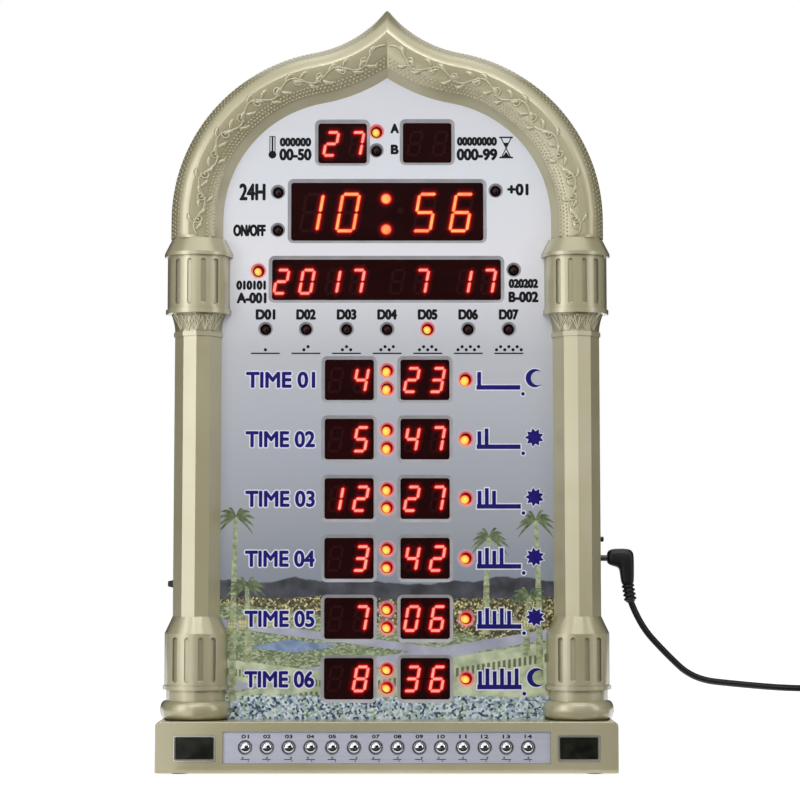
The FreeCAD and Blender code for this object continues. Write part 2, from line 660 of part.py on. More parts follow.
def module(at, size):
    """A digit module as large as its window."""
    (x, z), (width, height) = at, size
    return box(x - width / 2, x + width / 2, FILTER_BACK, BOARD_FRONT, z - height / 2, z + height / 2)


def lamp(at):
    """A domed LED with its flange and the spacer that it stands on."""
    x, z = at
    tip = PANEL_FRONT + LAMP_TIP_IN
    end = tip + LAMP_L
    flange_r = LAMP_R + LAMP_FLANGE
    steps = [(LAMP_R, tip + LAMP_R), (LAMP_R, end - LAMP_FLANGE_T), (flange_r, end - LAMP_FLANGE_T),
             (flange_r, end), (LAMP_R, end), (LAMP_R, BOARD_FRONT)]
    return domed(x, z, tip, LAMP_R, steps)


# ---------------------------------------------------------------- boards and what they carry
def board_screw_places():
    heights = [BOARD_LOW + rise for rise in BOARD_SCREW_RISES] + [BOARD_TOP - BOARD_SCREW_DROP]
    return [(side * (BOARD_W / 2 - BOARD_SCREW_IN), z) for side in (-1, 1) for z in heights]


def display_board():
    half, top = BOARD_W / 2, BOARD_TOP
    outline = [(-half, BOARD_LOW), (half, BOARD_LOW), (half, top - BOARD_CORNER), (half - BOARD_CORNER, top),
               (BOARD_CORNER - half, top), (-half, top - BOARD_CORNER)]
    blank = plate(polygon([(x, BOARD_FRONT, z) for x, z in outline]), BOARD_T)
    holes = [rod(SCREW_HOLE_R, BOARD_T, (x, BOARD_FRONT, z), (0, 1, 0)) for x, z in board_screw_places()]
    return blank.cut(group(holes))


def short_screws():
    """The screws of the display board, the key board and the base plate."""
    board = [screw((x, BOARD_FRONT, z), (0, 1, 0), SHORT_SCREW_L) for x, z in board_screw_places()]
    keys = [screw((side * KEY_BOARD_SCREW_X, KEY_BOARD_BACK, KEY_Z), (0, -1, 0), SHORT_SCREW_L)
            for side in (-1, 1)]
    base = [screw((x, y, PLATE_HEAD_BED), (0, 0, 1), SHORT_SCREW_L) for x, y in plate_screw_places()]
    return group(board + keys + base)


def on_board(place):
    """A place on the display board, given from the middle of its lower edge."""
    return place[0], BOARD_LOW + place[1]


def chips():
    width, height, depth = CHIP
    return group([box(x - width / 2, x + width / 2, BOARD_BACK, BOARD_BACK + depth,
                      z - height / 2, z + height / 2) for x, z in map(on_board, CHIPS)])


def coin_cell():
    x, z = on_board(CELL_PLACE)
    return rod(CELL_R, CELL_T, (x, BOARD_BACK + CELL_RIM, z), (0, 1, 0))


def coin_cell_holder():
    x, z = on_board(CELL_PLACE)
    outer = rod(CELL_R + CELL_RIM, CELL_T + CELL_RIM, (x, BOARD_BACK, z), (0, 1, 0))
    seat = rod(CELL_R + CELL_GAP, CELL_T, (x, BOARD_BACK + CELL_RIM, z), (0, 1, 0))
    return outer.cut(seat)


def speaker():
    """A thin round speaker that lies against the grille, with its magnet cup towards the board."""
    rim_y = COVER_INNER - SPEAKER_RIM_T
    cone_y = rim_y - SPEAKER_CONE_D
    rim = rod(SPEAKER_R, SPEAKER_RIM_T, (0, COVER_INNER, SPEAKER_Z), (0, -1, 0))
    cone = Part.makeCone(SPEAKER_CONE_R, SPEAKER_MAGNET_R, SPEAKER_CONE_D,
                         V(0, rim_y, SPEAKER_Z), V(0, -1, 0))
    magnet_d = cone_y - BOARD_BACK - SPEAKER_FREE
    magnet = rod(SPEAKER_MAGNET_R, magnet_d, (0, cone_y, SPEAKER_Z), (0, -1, 0))
    return fused([rim, cone, magnet])


# ---------------------------------------------------------------- rear cover
def side_hole(side, y, z, radius):
    """A round hole through the cover's side wall."""
    return rod(radius, COVER_WALL + 2 * JACK_LIP, (side * (COVER_HALF + JACK_LIP), y, z), (-side, 0, 0))


def keyhole(x):
    head = rod(HANGER_HEAD_R, COVER_WALL, (x, COVER_INNER, HANGER_Z), (0, 1, 0))
    top = HANGER_Z + HANGER_SLOT_L
    slot = box(x - HANGER_SLOT_R, x + HANGER_SLOT_R, COVER_INNER, REAR_FACE, HANGER_Z, top)
    end = rod(HANGER_SLOT_R, COVER_WALL, (x, COVER_INNER, top), (0, 1, 0))
    return fused([head, slot, end])


def grille():
    """Upright slots whose ends follow the speaker's round."""
    slots = []
    for index in range(GRILLE_SLOTS):
        x = (index - (GRILLE_SLOTS - 1) / 2) * GRILLE_PITCH
        reach = math.sqrt(GRILLE_R ** 2 - x ** 2)
        outline = round_rect(GRILLE_SLOT_W, 2 * reach, GRILLE_SLOT_R, (x, SPEAKER_Z), COVER_INNER)
        slots.append(plate(outline, COVER_WALL))
    return slots


def rear_cover():
    """The tray that closes the back, with screw bosses, board bosses, speaker grille and two keyholes."""
    offset = COVER_HALF - ARCH_X
    outer = plate(arch_line(offset, BASE_TOP, FRAME_BACK), REAR_FACE - FRAME_BACK)
    inner = plate(arch_line(offset - COVER_WALL, BASE_TOP + COVER_WALL, FRAME_BACK),
                  COVER_INNER - FRAME_BACK)
    shell = outer.cut(inner)
    solids = [shell]
    holes = grille()
    for x, z in frame_screw_places():
        solids.append(rod(BOSS_R, COVER_INNER - FRAME_BACK, (x, FRAME_BACK, z), (0, 1, 0)))
        holes.append(rod(SCREW_HOLE_R, REAR_FACE - FRAME_BACK, (x, FRAME_BACK, z), (0, 1, 0)))
        holes.append(rod(SCREW_HEAD_R + SCREW_SUNK, REAR_FACE - HEAD_BED, (x, HEAD_BED, z), (0, 1, 0)))
    for x, z in board_screw_places():
        solids.append(rod(BOSS_R, COVER_INNER - BOARD_BACK, (x, BOARD_BACK, z), (0, 1, 0)))
        holes.append(screw_pilot((x, BOARD_FRONT, z), (0, 1, 0), SHORT_SCREW_L))
    holes += [keyhole(-HANGER_X), keyhole(HANGER_X)]
    holes.append(side_hole(1, SIDE_CONTROL_Y, JACK_Z, JACK_NOSE_R + JACK_GAP))
    holes.append(side_hole(1, SIDE_CONTROL_Y, RESET_Z, RESET_R + RESET_GUIDE_GAP))
    slot_half = SLIDER_H / 2 + SLIDER_TRAVEL + SLIDER_GAP
    slot_y = SLIDER_W / 2 + SLIDER_GAP
    holes.append(box(-COVER_HALF, COVER_WALL - COVER_HALF, SIDE_CONTROL_Y - slot_y, SIDE_CONTROL_Y + slot_y,
                     SLIDER_Z - slot_half, SLIDER_Z + slot_half))
    holes.append(ribbon_slot(BASE_TOP, COVER_WALL))
    return fused(solids).cut(holes)


def case_screws():
    return group([screw((x, HEAD_BED, z), (0, -1, 0), LONG_SCREW_L) for x, z in frame_screw_places()])


# ---------------------------------------------------------------- base
KEY_XS = [(key - (KEYS - 1) / 2) * KEY_PITCH for key in range(KEYS)]


def ribbon_slot(low, depth):
    """The slot that lets the ribbon cable up out of the base."""
    half = RIBBON_W / 2 + RIBBON_GAP
    return box(RIBBON_X - half, RIBBON_X + half, RIBBON_Y - RIBBON_T / 2 - RIBBON_GAP,
               RIBBON_Y + RIBBON_T / 2 + RIBBON_GAP, low, low + depth)


def base_housing():
    """The open-bottomed base box with its key recess, key guide holes and sensor openings."""
    half = BASE_W / 2
    block = box(-half, half, BASE_FRONT, REAR_FACE, BASE_LOW, BASE_TOP)
    upper_sides = [e for e in block.Edges
                   if e.BoundBox.YLength > BASE_CORNER_R and e.BoundBox.ZMin > FRONT_MIDDLE]
    block = block.makeFillet(BASE_CORNER_R, upper_sides)
    rim = [e for e in block.Edges
           if e.BoundBox.YMax < BASE_FRONT + BASE_EDGE_R and e.BoundBox.ZMax > FRONT_MIDDLE]
    block = block.makeFillet(BASE_EDGE_R, rim)
    wall = BASE_WALL
    room = box(wall - half, half - wall, BACKING_BACK, REAR_FACE - wall, BASE_LOW, BASE_TOP - wall)
    strip = box(-STRIP_W / 2, STRIP_W / 2, BASE_FRONT, STRIP_BED, KEY_Z - STRIP_H / 2, KEY_Z + STRIP_H / 2)
    guides = [rod(KEY_R + KEY_GUIDE_GAP, STRIP_BACKING_T, (x, STRIP_BED, KEY_Z), (0, 1, 0)) for x in KEY_XS]
    openings = []
    for side in (-1, 1):
        outline = round_rect(SENSOR_W + 2 * SENSOR_FIT, SENSOR_H + 2 * SENSOR_FIT, SENSOR_RIM,
                             (side * SENSOR_X, SENSOR_Z), BASE_FRONT)
        openings.append(plate(outline, BACKING_BACK - BASE_FRONT))
    pillars = []
    for side in (-1, 1):
        x = side * KEY_BOARD_SCREW_X
        pillar = rod(BOSS_R, KEY_BOARD_FRONT - BACKING_BACK, (x, BACKING_BACK, KEY_Z), (0, 1, 0))
        pillars.append(pillar.cut(screw_pilot((x, KEY_BOARD_BACK, KEY_Z), (0, -1, 0), SHORT_SCREW_L)))
    shell = block.cut([room, strip] + guides + openings + [ribbon_slot(BASE_TOP - wall, wall)])
    pillars += [box_pillar(x, y) for x, y in plate_screw_places()]
    return fused([shell] + pillars)


def plate_screw_places():
    return [(side * (BASE_W / 2 - PLATE_SCREW_IN), y) for side in (-1, 1) for y in PLATE_SCREW_YS]


def box_pillar(x, y):
    """A boss that hangs from the base's roof and takes a screw of the base plate."""
    low = BASE_LOW + BASE_PLATE_T
    pillar = rod(BOSS_R, BASE_TOP - BASE_WALL - low, (x, y, low), (0, 0, 1))
    return pillar.cut(screw_pilot((x, y, PLATE_HEAD_BED), (0, 0, 1), SHORT_SCREW_L))


def foot_places():
    return [(side * (BASE_W / 2 - FOOT_IN), depth * FOOT_Y) for side in (-1, 1) for depth in (-1, 1)]


def base_plate():
    """The floor of the base, inside its walls, with pockets for the feet."""
    half = BASE_W / 2 - BASE_WALL - PLATE_GAP
    blank = box(-half, half, BACKING_BACK + PLATE_GAP, REAR_FACE - BASE_WALL - PLATE_GAP,
                BASE_LOW, BASE_LOW + BASE_PLATE_T)
    holes = []
    for x, y in plate_screw_places():
        holes.append(rod(SCREW_HOLE_R, BASE_PLATE_T, (x, y, BASE_LOW), (0, 0, 1)))
        holes.append(rod(SCREW_HEAD_R + SCREW_SUNK, PLATE_HEAD_BED - BASE_LOW, (x, y, BASE_LOW), (0, 0, 1)))
    holes += [rod(FOOT_R, FOOT_SUNK, (x, y, BASE_LOW), (0, 0, 1)) for x, y in foot_places()]
    return blank.cut(holes)


def rubber_feet():
    return group([rod(FOOT_R, FOOT_PROUD + FOOT_SUNK, (x, y, 0), (0, 0, 1)) for x, y in foot_places()])


def key_strip():
    """The metal strip in the base's recess, with a clear hole round every key."""
    half_w, half_h = STRIP_W / 2 - STRIP_GAP, STRIP_H / 2 - STRIP_GAP
    blank = box(-half_w, half_w, STRIP_FACE, STRIP_BED, KEY_Z - half_h, KEY_Z + half_h)
    return blank.cut([rod(KEY_R + STRIP_RING, STRIP_T, (x, STRIP_FACE, KEY_Z), (0, 1, 0)) for x in KEY_XS])


def key(x):
    """A domed key with its retaining flange and the stem that presses the tact switch."""
    tip = BASE_FRONT - KEY_TIP_PROUD
    stem_end = SWITCH_FRONT + SWITCH_BORE_D - KEY_TRAVEL - STEM_FREE
    flange_r = KEY_R + KEY_FLANGE
    steps = [(KEY_R, tip + KEY_DOME_H), (KEY_R, FLANGE_FRONT), (flange_r, FLANGE_FRONT),
             (flange_r, FLANGE_BACK), (STEM_R, FLANGE_BACK), (STEM_R, stem_end)]
    return domed(x, KEY_Z, tip, KEY_DOME_H, steps)


def tact_switches():
    """The switch bodies on the key board, each bored for its key's stem."""
    half = SWITCH_SIZE / 2
    switches = []
    for x in KEY_XS:
        body = box(x - half, x + half, SWITCH_FRONT, KEY_BOARD_FRONT, KEY_Z - half, KEY_Z + half)
        bore = rod(STEM_R + SWITCH_BORE_GAP, SWITCH_BORE_D, (x, SWITCH_FRONT, KEY_Z), (0, 1, 0))
        switches.append(body.cut(bore))
    return group(switches)


def key_board():
    half = BASE_W / 2 - KEY_BOARD_IN
    low, top = KEY_Z - KEY_BOARD_H / 2, KEY_Z + KEY_BOARD_H / 2
    blank = box(-half, half, KEY_BOARD_FRONT, KEY_BOARD_BACK, low, top)
    holes = [rod(SCREW_HOLE_R, BOARD_T, (side * KEY_BOARD_SCREW_X, KEY_BOARD_FRONT, KEY_Z), (0, 1, 0))
             for side in (-1, 1)]
    return blank.cut(holes)


def connectors():
    """The ribbon's two headers: behind the key board, and at the foot of the display board."""
    half = CONNECTOR_W / 2
    x0, x1 = RIBBON_X - half, RIBBON_X + half
    lower = box(x0, x1, KEY_BOARD_BACK, KEY_BOARD_BACK + CONNECTOR_D,
                KEY_Z - CONNECTOR_H / 2, KEY_Z + CONNECTOR_H / 2)
    low = BOARD_LOW + CONNECTOR_D
    upper = box(x0, x1, BOARD_FRONT - CONNECTOR_D, BOARD_FRONT, low, low + CONNECTOR_H)
    return group([lower, upper])


def ribbon_cable():
    """A flat cable that runs back from the key board, bends once and rises to the display board."""
    x0 = RIBBON_X - RIBBON_W / 2
    start = KEY_BOARD_BACK + CONNECTOR_D
    top = BOARD_LOW + CONNECTOR_D
    centre_y, centre_z = RIBBON_Y - RIBBON_BEND, KEY_Z + RIBBON_BEND
    half = RIBBON_T / 2

    def at(y, z):
        return V(x0, y, z)

    def corner(radius):
        diagonal = radius / math.sqrt(2)
        return Part.Arc(at(centre_y, centre_z - radius), at(centre_y + diagonal, centre_z - diagonal),
                        at(centre_y + radius, centre_z)).toShape()

    outer, inner = corner(RIBBON_BEND + half), corner(RIBBON_BEND - half)
    lines = [(at(start, KEY_Z - half), at(centre_y, KEY_Z - half)),
             (at(RIBBON_Y + half, centre_z), at(RIBBON_Y + half, top)),
             (at(RIBBON_Y + half, top), at(RIBBON_Y - half, top)),
             (at(RIBBON_Y - half, top), at(RIBBON_Y - half, centre_z)),
             (at(centre_y, KEY_Z + half), at(start, KEY_Z + half)),
             (at(start, KEY_Z + half), at(start, KEY_Z - half))]
    edges = [outer, inner] + [Part.LineSegment(a, b).toShape() for a, b in lines]
    return Part.Face(Part.Wire(Part.__sortEdges__(edges))).extrude(V(RIBBON_W, 0, 0))


def sensor_outline(side, inset, y):
    return round_rect(SENSOR_W - 2 * inset, SENSOR_H - 2 * inset, SENSOR_RIM - inset / 2,
                      (side * SENSOR_X, SENSOR_Z), y)


def window_bezels():
    """The pale rims round the two sensor windows, chamfered inwards."""
    front, back = BASE_FRONT - SENSOR_RIM_PROUD, BASE_FRONT + SENSOR_PANE_SUNK
    rims = []
    for side in (-1, 1):
        blank = plate(sensor_outline(side, 0, front), back - front)
        opening = Part.makeLoft([sensor_outline(side, SENSOR_RIM / 2, front),
                                 sensor_outline(side, SENSOR_RIM, back)], True, True)
        rims.append(blank.cut(opening))
    return group(rims)


def sensor_window(side):
    return plate(sensor_outline(side, 0, BASE_FRONT + SENSOR_PANE_SUNK), SENSOR_PANE_T)


def ir_receiver():
    """The remote control's eye on the key board, behind the left window."""
    width, depth, height = EYE_BODY
    x, front = -SENSOR_X, KEY_BOARD_FRONT - depth
    body = box(x - width / 2, x + width / 2, front, KEY_BOARD_FRONT,
               SENSOR_Z - height / 2, SENSOR_Z + height / 2)
    return fused([body, domed(x, SENSOR_Z, front - EYE_R, EYE_R, [(EYE_R, front), (EYE_R, KEY_BOARD_FRONT)])])


# ---------------------------------------------------------------- side controls
def dc_jack():
    """The power inlet: nose through the cover's wall, round bore and centre pin."""
    length, depth, height = JACK_BODY
    y, z = SIDE_CONTROL_Y, JACK_Z
    wall = COVER_HALF - COVER_WALL
    body = box(wall - length, wall, y - depth / 2, y + depth / 2, z - height / 2, z + height / 2)
    nose = rod(JACK_NOSE_R, JACK_FACE - wall, (wall, y, z), (1, 0, 0))
    bore_l = BARREL_L - BARREL_SHOWS + JACK_BORE_END
    bore = rod(BARREL_R + BARREL_GAP, bore_l, (JACK_FACE, y, z), (-1, 0, 0))
    pin_l = bore_l - JACK_BORE_END / 2
    pin = rod(BARREL_BORE_R - CENTRE_PIN_GAP, pin_l, (JACK_FACE - bore_l, y, z), (1, 0, 0))
    return fused([fused([body, nose]).cut(bore), pin])


def reset_switch():
    """The body behind the reset button, bored for the button's stem."""
    length, depth, height = RESET_BODY
    y, z = SIDE_CONTROL_Y, RESET_Z
    wall = COVER_HALF - COVER_WALL
    body = box(wall - length, wall, y - depth / 2, y + depth / 2, z - height / 2, z + height / 2)
    return body.cut(rod(RESET_R + RESET_GUIDE_GAP, length / 2, (wall, y, z), (-1, 0, 0)))


def reset_button():
    start = COVER_HALF - COVER_WALL - RESET_BODY[0] / 2 + RESET_TRAVEL + STEM_FREE
    button = rod(RESET_R, COVER_HALF + RESET_PROUD - start, (start, SIDE_CONTROL_Y, RESET_Z), (1, 0, 0))
    rim = [e for e in button.Edges if e.BoundBox.XMin > COVER_HALF]
    return button.makeFillet(RESET_TIP_R, rim)


def slide_switch():
    """The switch body behind the side slot, open towards its knob."""
    length, depth, height = SLIDER_BODY
    y, z = SIDE_CONTROL_Y, SLIDER_Z
    wall = COVER_WALL - COVER_HALF
    body = box(wall, wall + length, y - depth / 2, y + depth / 2, z - height / 2, z + height / 2)
    room_y = SLIDER_W / 2 + SLIDER_GAP
    room_z = SLIDER_H / 2 + SLIDER_TRAVEL + SLIDER_GAP
    return body.cut(box(wall, wall + length / 2, y - room_y, y + room_y, z - room_z, z + room_z))


def slide_knob():
    """The wedge-shaped knob, square in its slot and narrowing to the tip."""
    y, z = SIDE_CONTROL_Y, SLIDER_Z
    root = COVER_WALL - COVER_HALF + SLIDER_BODY[0] / 2 - SLIDER_GAP
    tip = -COVER_HALF - SLIDER_PROUD
    half_h, half_tip = SLIDER_H / 2, SLIDER_TIP_H / 2
    profile = [(root, -half_h), (-COVER_HALF, -half_h), (tip, -half_tip), (tip, half_tip),
               (-COVER_HALF, half_h), (root, half_h)]
    wire = polygon([(x, y - SLIDER_W / 2, z + up) for x, up in profile])
    return plate(wire, SLIDER_W)


# ---------------------------------------------------------------- plug, lead and adapter
PLUG_AT = (SIDE_CONTROL_Y, JACK_Z)
BOOT_TOP = (STEM_X, SIDE_CONTROL_Y, JACK_Z - PLUG_STEM_DROP)
BOOT_AXIS = (math.sin(math.radians(BOOT_TILT)), 0, -math.cos(math.radians(BOOT_TILT)))
CORD_START = tuple(at + BOOT_L * way for at, way in zip(BOOT_TOP, BOOT_AXIS))
COIL_BACK = COIL_Y + COIL_R + CORD_R * (COIL_COLUMNS - 1)
LOW_TURN_Z = ADAPTER_SIZE[2] + CORD_R
TOP_TURN_Z = LOW_TURN_Z + 2 * CORD_R * (COIL_LAYERS - 1)
CORD_ROUTE = [CORD_START, (147.2, 12.5, 83.5), (161.5, 13.8, 67.6), (178.5, 15.5, 51.5), (205.0, 18.5, 48.5),
              (234.0, 24.0, 45.8), (258.0, 32.0, 45.2), (COIL_X - 2, COIL_BACK, TOP_TURN_Z)]
ADAPTER_LEFT = COIL_X - ADAPTER_SIZE[0] / 2
ADAPTER_Y = COIL_Y - ADAPTER_FORWARD
RELIEF_TIP = (ADAPTER_LEFT + ADAPTER_SIZE[0] + RELIEF_L, ADAPTER_Y, RELIEF_Z)
TAIL_ROUTE = [(COIL_X + 2, COIL_BACK, LOW_TURN_Z), (289.0, 34.7, LOW_TURN_Z), (308.0, 34.7, 40.3),
              (328.0, 33.4, 39.6), (340.5, 26.5, 35.2), (345.0, 15.3, 27.5), (340.0, 4.0, 19.5),
              (328.5, -2.7, 15.2), RELIEF_TIP]


def dc_plug():
    """The right-angle plug: rounded head, tapering stem and a boot with raised rings."""
    y, z = PLUG_AT
    head = box(PLUG_FACE, STEM_X + PLUG_STEM_TOP_R, y - PLUG_D / 2, y + PLUG_D / 2, z - PLUG_R, z + PLUG_R)
    head = head.makeFillet(PLUG_ROUND, head.Edges)
    stem = Part.makeCone(PLUG_STEM_END_R, PLUG_STEM_TOP_R, PLUG_STEM_DROP, V(*BOOT_TOP), V(0, 0, 1))
    solids = [head, stem, rod(BOOT_CORE_R, BOOT_L, BOOT_TOP, BOOT_AXIS)]
    pitch = (BOOT_L - BOOT_RIB_T) / BOOT_RIBS
    for rib in range(1, BOOT_RIBS + 1):
        at = [start + pitch * rib * way for start, way in zip(BOOT_TOP, BOOT_AXIS)]
        solids.append(rod(BOOT_RIB_R, BOOT_RIB_T, at, BOOT_AXIS))
    return fused(solids)


def dc_plug_barrel():
    start = (PLUG_FACE, *PLUG_AT)
    tube = rod(BARREL_R, BARREL_L, start, (-1, 0, 0))
    return tube.cut(rod(BARREL_BORE_R, BARREL_L, start, (-1, 0, 0)))


def route_wire(points):
    """Straight runs joined by tangent arcs, as large as the runs allow. Returns the wire and the radii."""
    corners = [V(*p) for p in points]
    edges = []
    radii = []
    last = corners[0]
    for before, here, after in zip(corners, corners[1:], corners[2:]):
        back, ahead = before - here, after - here
        trim = CORD_ARC_SHARE * min(back.Length, ahead.Length)
        half_turn = (math.pi - back.getAngle(ahead)) / 2
        radii.append(trim / math.tan(half_turn))
        back.normalize()
        ahead.normalize()
        start, end = here + back * trim, here + ahead * trim
        inward = back + ahead
        inward.normalize()
        middle = here + inward * (radii[-1] / math.cos(half_turn) - radii[-1])
        edges.append(Part.LineSegment(last, start).toShape())
        edges.append(Part.Arc(start, middle, end).toShape())
        last = end
    edges.append(Part.LineSegment(last, corners[-1]).toShape())
    return Part.Wire(edges), radii


def cord(name, points):
    wire, radii = route_wire(points)
    section = Part.Wire(Part.makeCircle(CORD_R, V(*points[0]), V(*points[1]) - V(*points[0])))
    tube = wire.makePipeShell([section], True, False)
    ratio = tube.Volume / (math.pi * CORD_R ** 2 * wire.Length)
    print(name, "length", round(wire.Length, 1), "radii", [round(r, 1) for r in radii],
          "volume ratio", round(ratio, 4))
    return tube


def cord_coil():
    """The outer shape of the put-away turns, which lie on the adapter: a ring with a rounded section."""
    width, height = 2 * CORD_R * COIL_COLUMNS, 2 * CORD_R * COIL_LAYERS
    section = round_rect(width, height, CORD_R, (COIL_X + COIL_R, ADAPTER_SIZE[2] + height / 2), COIL_Y)
    return Part.Face(section).revolve(V(COIL_X, COIL_Y, 0), V(0, 0, 1), 360)


def adapter_body():
    """The plug-in mains adapter, lying on its side, with a tapered strain relief."""
    length, width, height = ADAPTER_SIZE
    block = box(ADAPTER_LEFT, ADAPTER_LEFT + length, ADAPTER_Y - width / 2, ADAPTER_Y + width / 2, 0, height)
    block = block.makeFillet(ADAPTER_ROUND, block.Edges)
    relief = Part.makeCone(RELIEF_TIP_R, RELIEF_R, RELIEF_L + ADAPTER_ROUND, V(*RELIEF_TIP), V(-1, 0, 0))
    return fused([block, relief])


def adapter_pins():
    y, z = ADAPTER_Y + ADAPTER_SIZE[1] / 2, ADAPTER_SIZE[2] / 2
    return group([rod(MAINS_PIN_R, MAINS_PIN_L, (COIL_X + side * MAINS_PIN_PITCH / 2, y, z), (0, 1, 0))
                  for side in (-1, 1)])


# ---------------------------------------------------------------- one file for each piece
def pieces():
    """Every piece of the clock, by name."""
    rebate = panel_rebate()
    pilots = screw_pilots()
    left = column()
    left.translate(V(-COLUMN_X, 0, 0))
    frame_cuts = [rebate] + pilots
    made = {
        "arch_frame": arch().cut(frame_cuts),
        "column_left": left.cut(frame_cuts),
        "column_right": mirrored(left).cut(frame_cuts),
        "base_housing": base_housing(),
        "base_plate": base_plate(),
        "rear_cover": rear_cover(),
        "dial_panel": dial_panel(),
        "display_filters": group([filter_pane(at, size) for at, size in WINDOWS]),
        "schedule_displays": group([module(at, SMALL_WINDOW) for at in ROW_WINDOWS]),
        "temperature_display": module(TEMPERATURE_AT, SMALL_WINDOW),
        "countdown_display": module(COUNTDOWN_AT, SMALL_WINDOW),
        "time_display": module(TIME_AT, TIME_WINDOW),
        "date_display": module(DATE_AT, DATE_WINDOW),
        "colon_lamps": group([lamp(at) for at in COLON_LAMPS]),
        "schedule_lamps": group([lamp(at) for at in ROW_LAMPS]),
        "weekday_lamps": group([lamp(at) for at in WEEKDAY_LAMPS]),
        "mode_lamps": group([lamp(at) for at in MODE_LAMPS]),
        "display_board": display_board(),
        "controller_chips": chips(),
        "coin_cell_holder": coin_cell_holder(),
        "coin_cell": coin_cell(),
        "speaker": speaker(),
        "case_screws": case_screws(),
        "short_screws": short_screws(),
        "rubber_feet": rubber_feet(),
        "key_strip": key_strip(),
        "key_board": key_board(),
        "tact_switches": tact_switches(),
        "ribbon_connectors": connectors(),
        "ribbon_cable": ribbon_cable(),
        "window_bezels": window_bezels(),
        "sensor_window_left": sensor_window(-1),
        "sensor_window_right": sensor_window(1),
        "ir_receiver": ir_receiver(),
        "dc_jack": dc_jack(),
        "reset_switch": reset_switch(),
        "reset_button": reset_button(),
        "slide_switch": slide_switch(),
        "slide_switch_knob": slide_knob(),
        "dc_plug": dc_plug(),
        "dc_plug_barrel": dc_plug_barrel(),
        "power_cord": cord("power_cord", CORD_ROUTE),
        "power_cord_tail": cord("power_cord_tail", TAIL_ROUTE),
        "cord_coil": cord_coil(),
        "adapter_body": adapter_body(),
        "adapter_pins": adapter_pins(),
    }
    for number, x in enumerate(KEY_XS, 1):
        made[f"key_{number:02d}"] = key(x)
    return made


os.makedirs("parts", exist_ok=True)
for name, shape in pieces().items():
    shape.exportStep(f"parts/{name}.step")
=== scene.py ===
"""The azan clock, dressed: finishes, displays, dial print, relief, lead, studio and camera.

Shapes are given in millimetres with the model's own axes (+Z up, the dial faces -Y); MM turns them into metres.
"""

import math
import random

import bmesh
import bpy
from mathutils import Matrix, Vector


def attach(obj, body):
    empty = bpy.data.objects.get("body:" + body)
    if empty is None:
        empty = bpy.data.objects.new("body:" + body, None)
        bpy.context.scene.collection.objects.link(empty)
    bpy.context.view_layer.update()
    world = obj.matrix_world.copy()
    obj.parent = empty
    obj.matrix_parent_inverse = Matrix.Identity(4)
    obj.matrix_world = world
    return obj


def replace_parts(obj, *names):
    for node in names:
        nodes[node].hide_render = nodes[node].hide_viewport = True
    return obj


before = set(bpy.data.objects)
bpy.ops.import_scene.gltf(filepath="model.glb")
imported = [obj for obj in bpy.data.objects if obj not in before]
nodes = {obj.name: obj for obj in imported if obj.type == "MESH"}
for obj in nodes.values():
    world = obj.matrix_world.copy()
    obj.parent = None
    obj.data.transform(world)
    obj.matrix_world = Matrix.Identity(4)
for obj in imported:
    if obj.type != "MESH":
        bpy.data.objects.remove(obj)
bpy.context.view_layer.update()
random.seed(7)
MM = 0.001

# ---------------------------------------------------------------- places taken from the model
PANEL_FRONT = -1.5          # printed face of the dial panel
FILTER_FRONT = 1.0          # face of the smoked filters behind it
STRIP_FACE = -20.8          # face of the key strip
ROW_LOW = 52.6
ROW_PITCH = 34.6
ROWS = 6
KEYS = 14
KEY_PITCH = 12.3
KEY_Z = 15.2
WEEKDAYS = 7
WEEKDAY_PITCH = 23.65
WEEKDAY_Z = 255.1
LAMP_R = 2.5
LAMP_TIP = -0.9             # y of the lamps' tips
COLON_GAP = 5.25            # of the rows' colon lamps over and under the row
ROW_LAMP_X = 45.7
LIT_LAMPS = ((-6.3, 371.9), (-75.3, 289.4), (23.65, 255.1))
FAR_AWAY = 1000.0
COLUMN_X = 110.0
BELL_Z, BELL_H = 252.9, 10.5
DRUM_HALF, DRUM_DEPTH = 18.2, 15.7      # of the columns' drums, beside and before the panel's face
SOFT_ZONES = ((30.0, 88.4), (BELL_Z + 1.0, 309.0))
HAIR = 0.0015               # step that keeps overlapping print apart

# ---------------------------------------------------------------- camera
CAMERA_AT = (7.5, -1196.3, 119.6)
CAMERA_PITCH = 4.5          # degrees upwards
CAMERA_LENS = 92.727        # on a 36 mm sensor


def place_camera():
    data = bpy.data.cameras.new("camera")
    data.sensor_width = 36.0
    data.lens = CAMERA_LENS
    camera = bpy.data.objects.new("camera", data)
    camera.location = Vector(CAMERA_AT) * MM
    camera.rotation_euler = (math.radians(90 + CAMERA_PITCH), 0, 0)
    bpy.context.scene.collection.objects.link(camera)
    bpy.context.scene.camera = camera


place_camera()


# ---------------------------------------------------------------- material helpers
def srgb(red, green, blue):
    """A screen colour, 0 to 255, as a linear colour."""
    shares = [value / 255 for value in (red, green, blue)]
    return (*[s / 12.92 if s <= 0.04045 else ((s + 0.055) / 1.055) ** 2.4 for s in shares], 1.0)


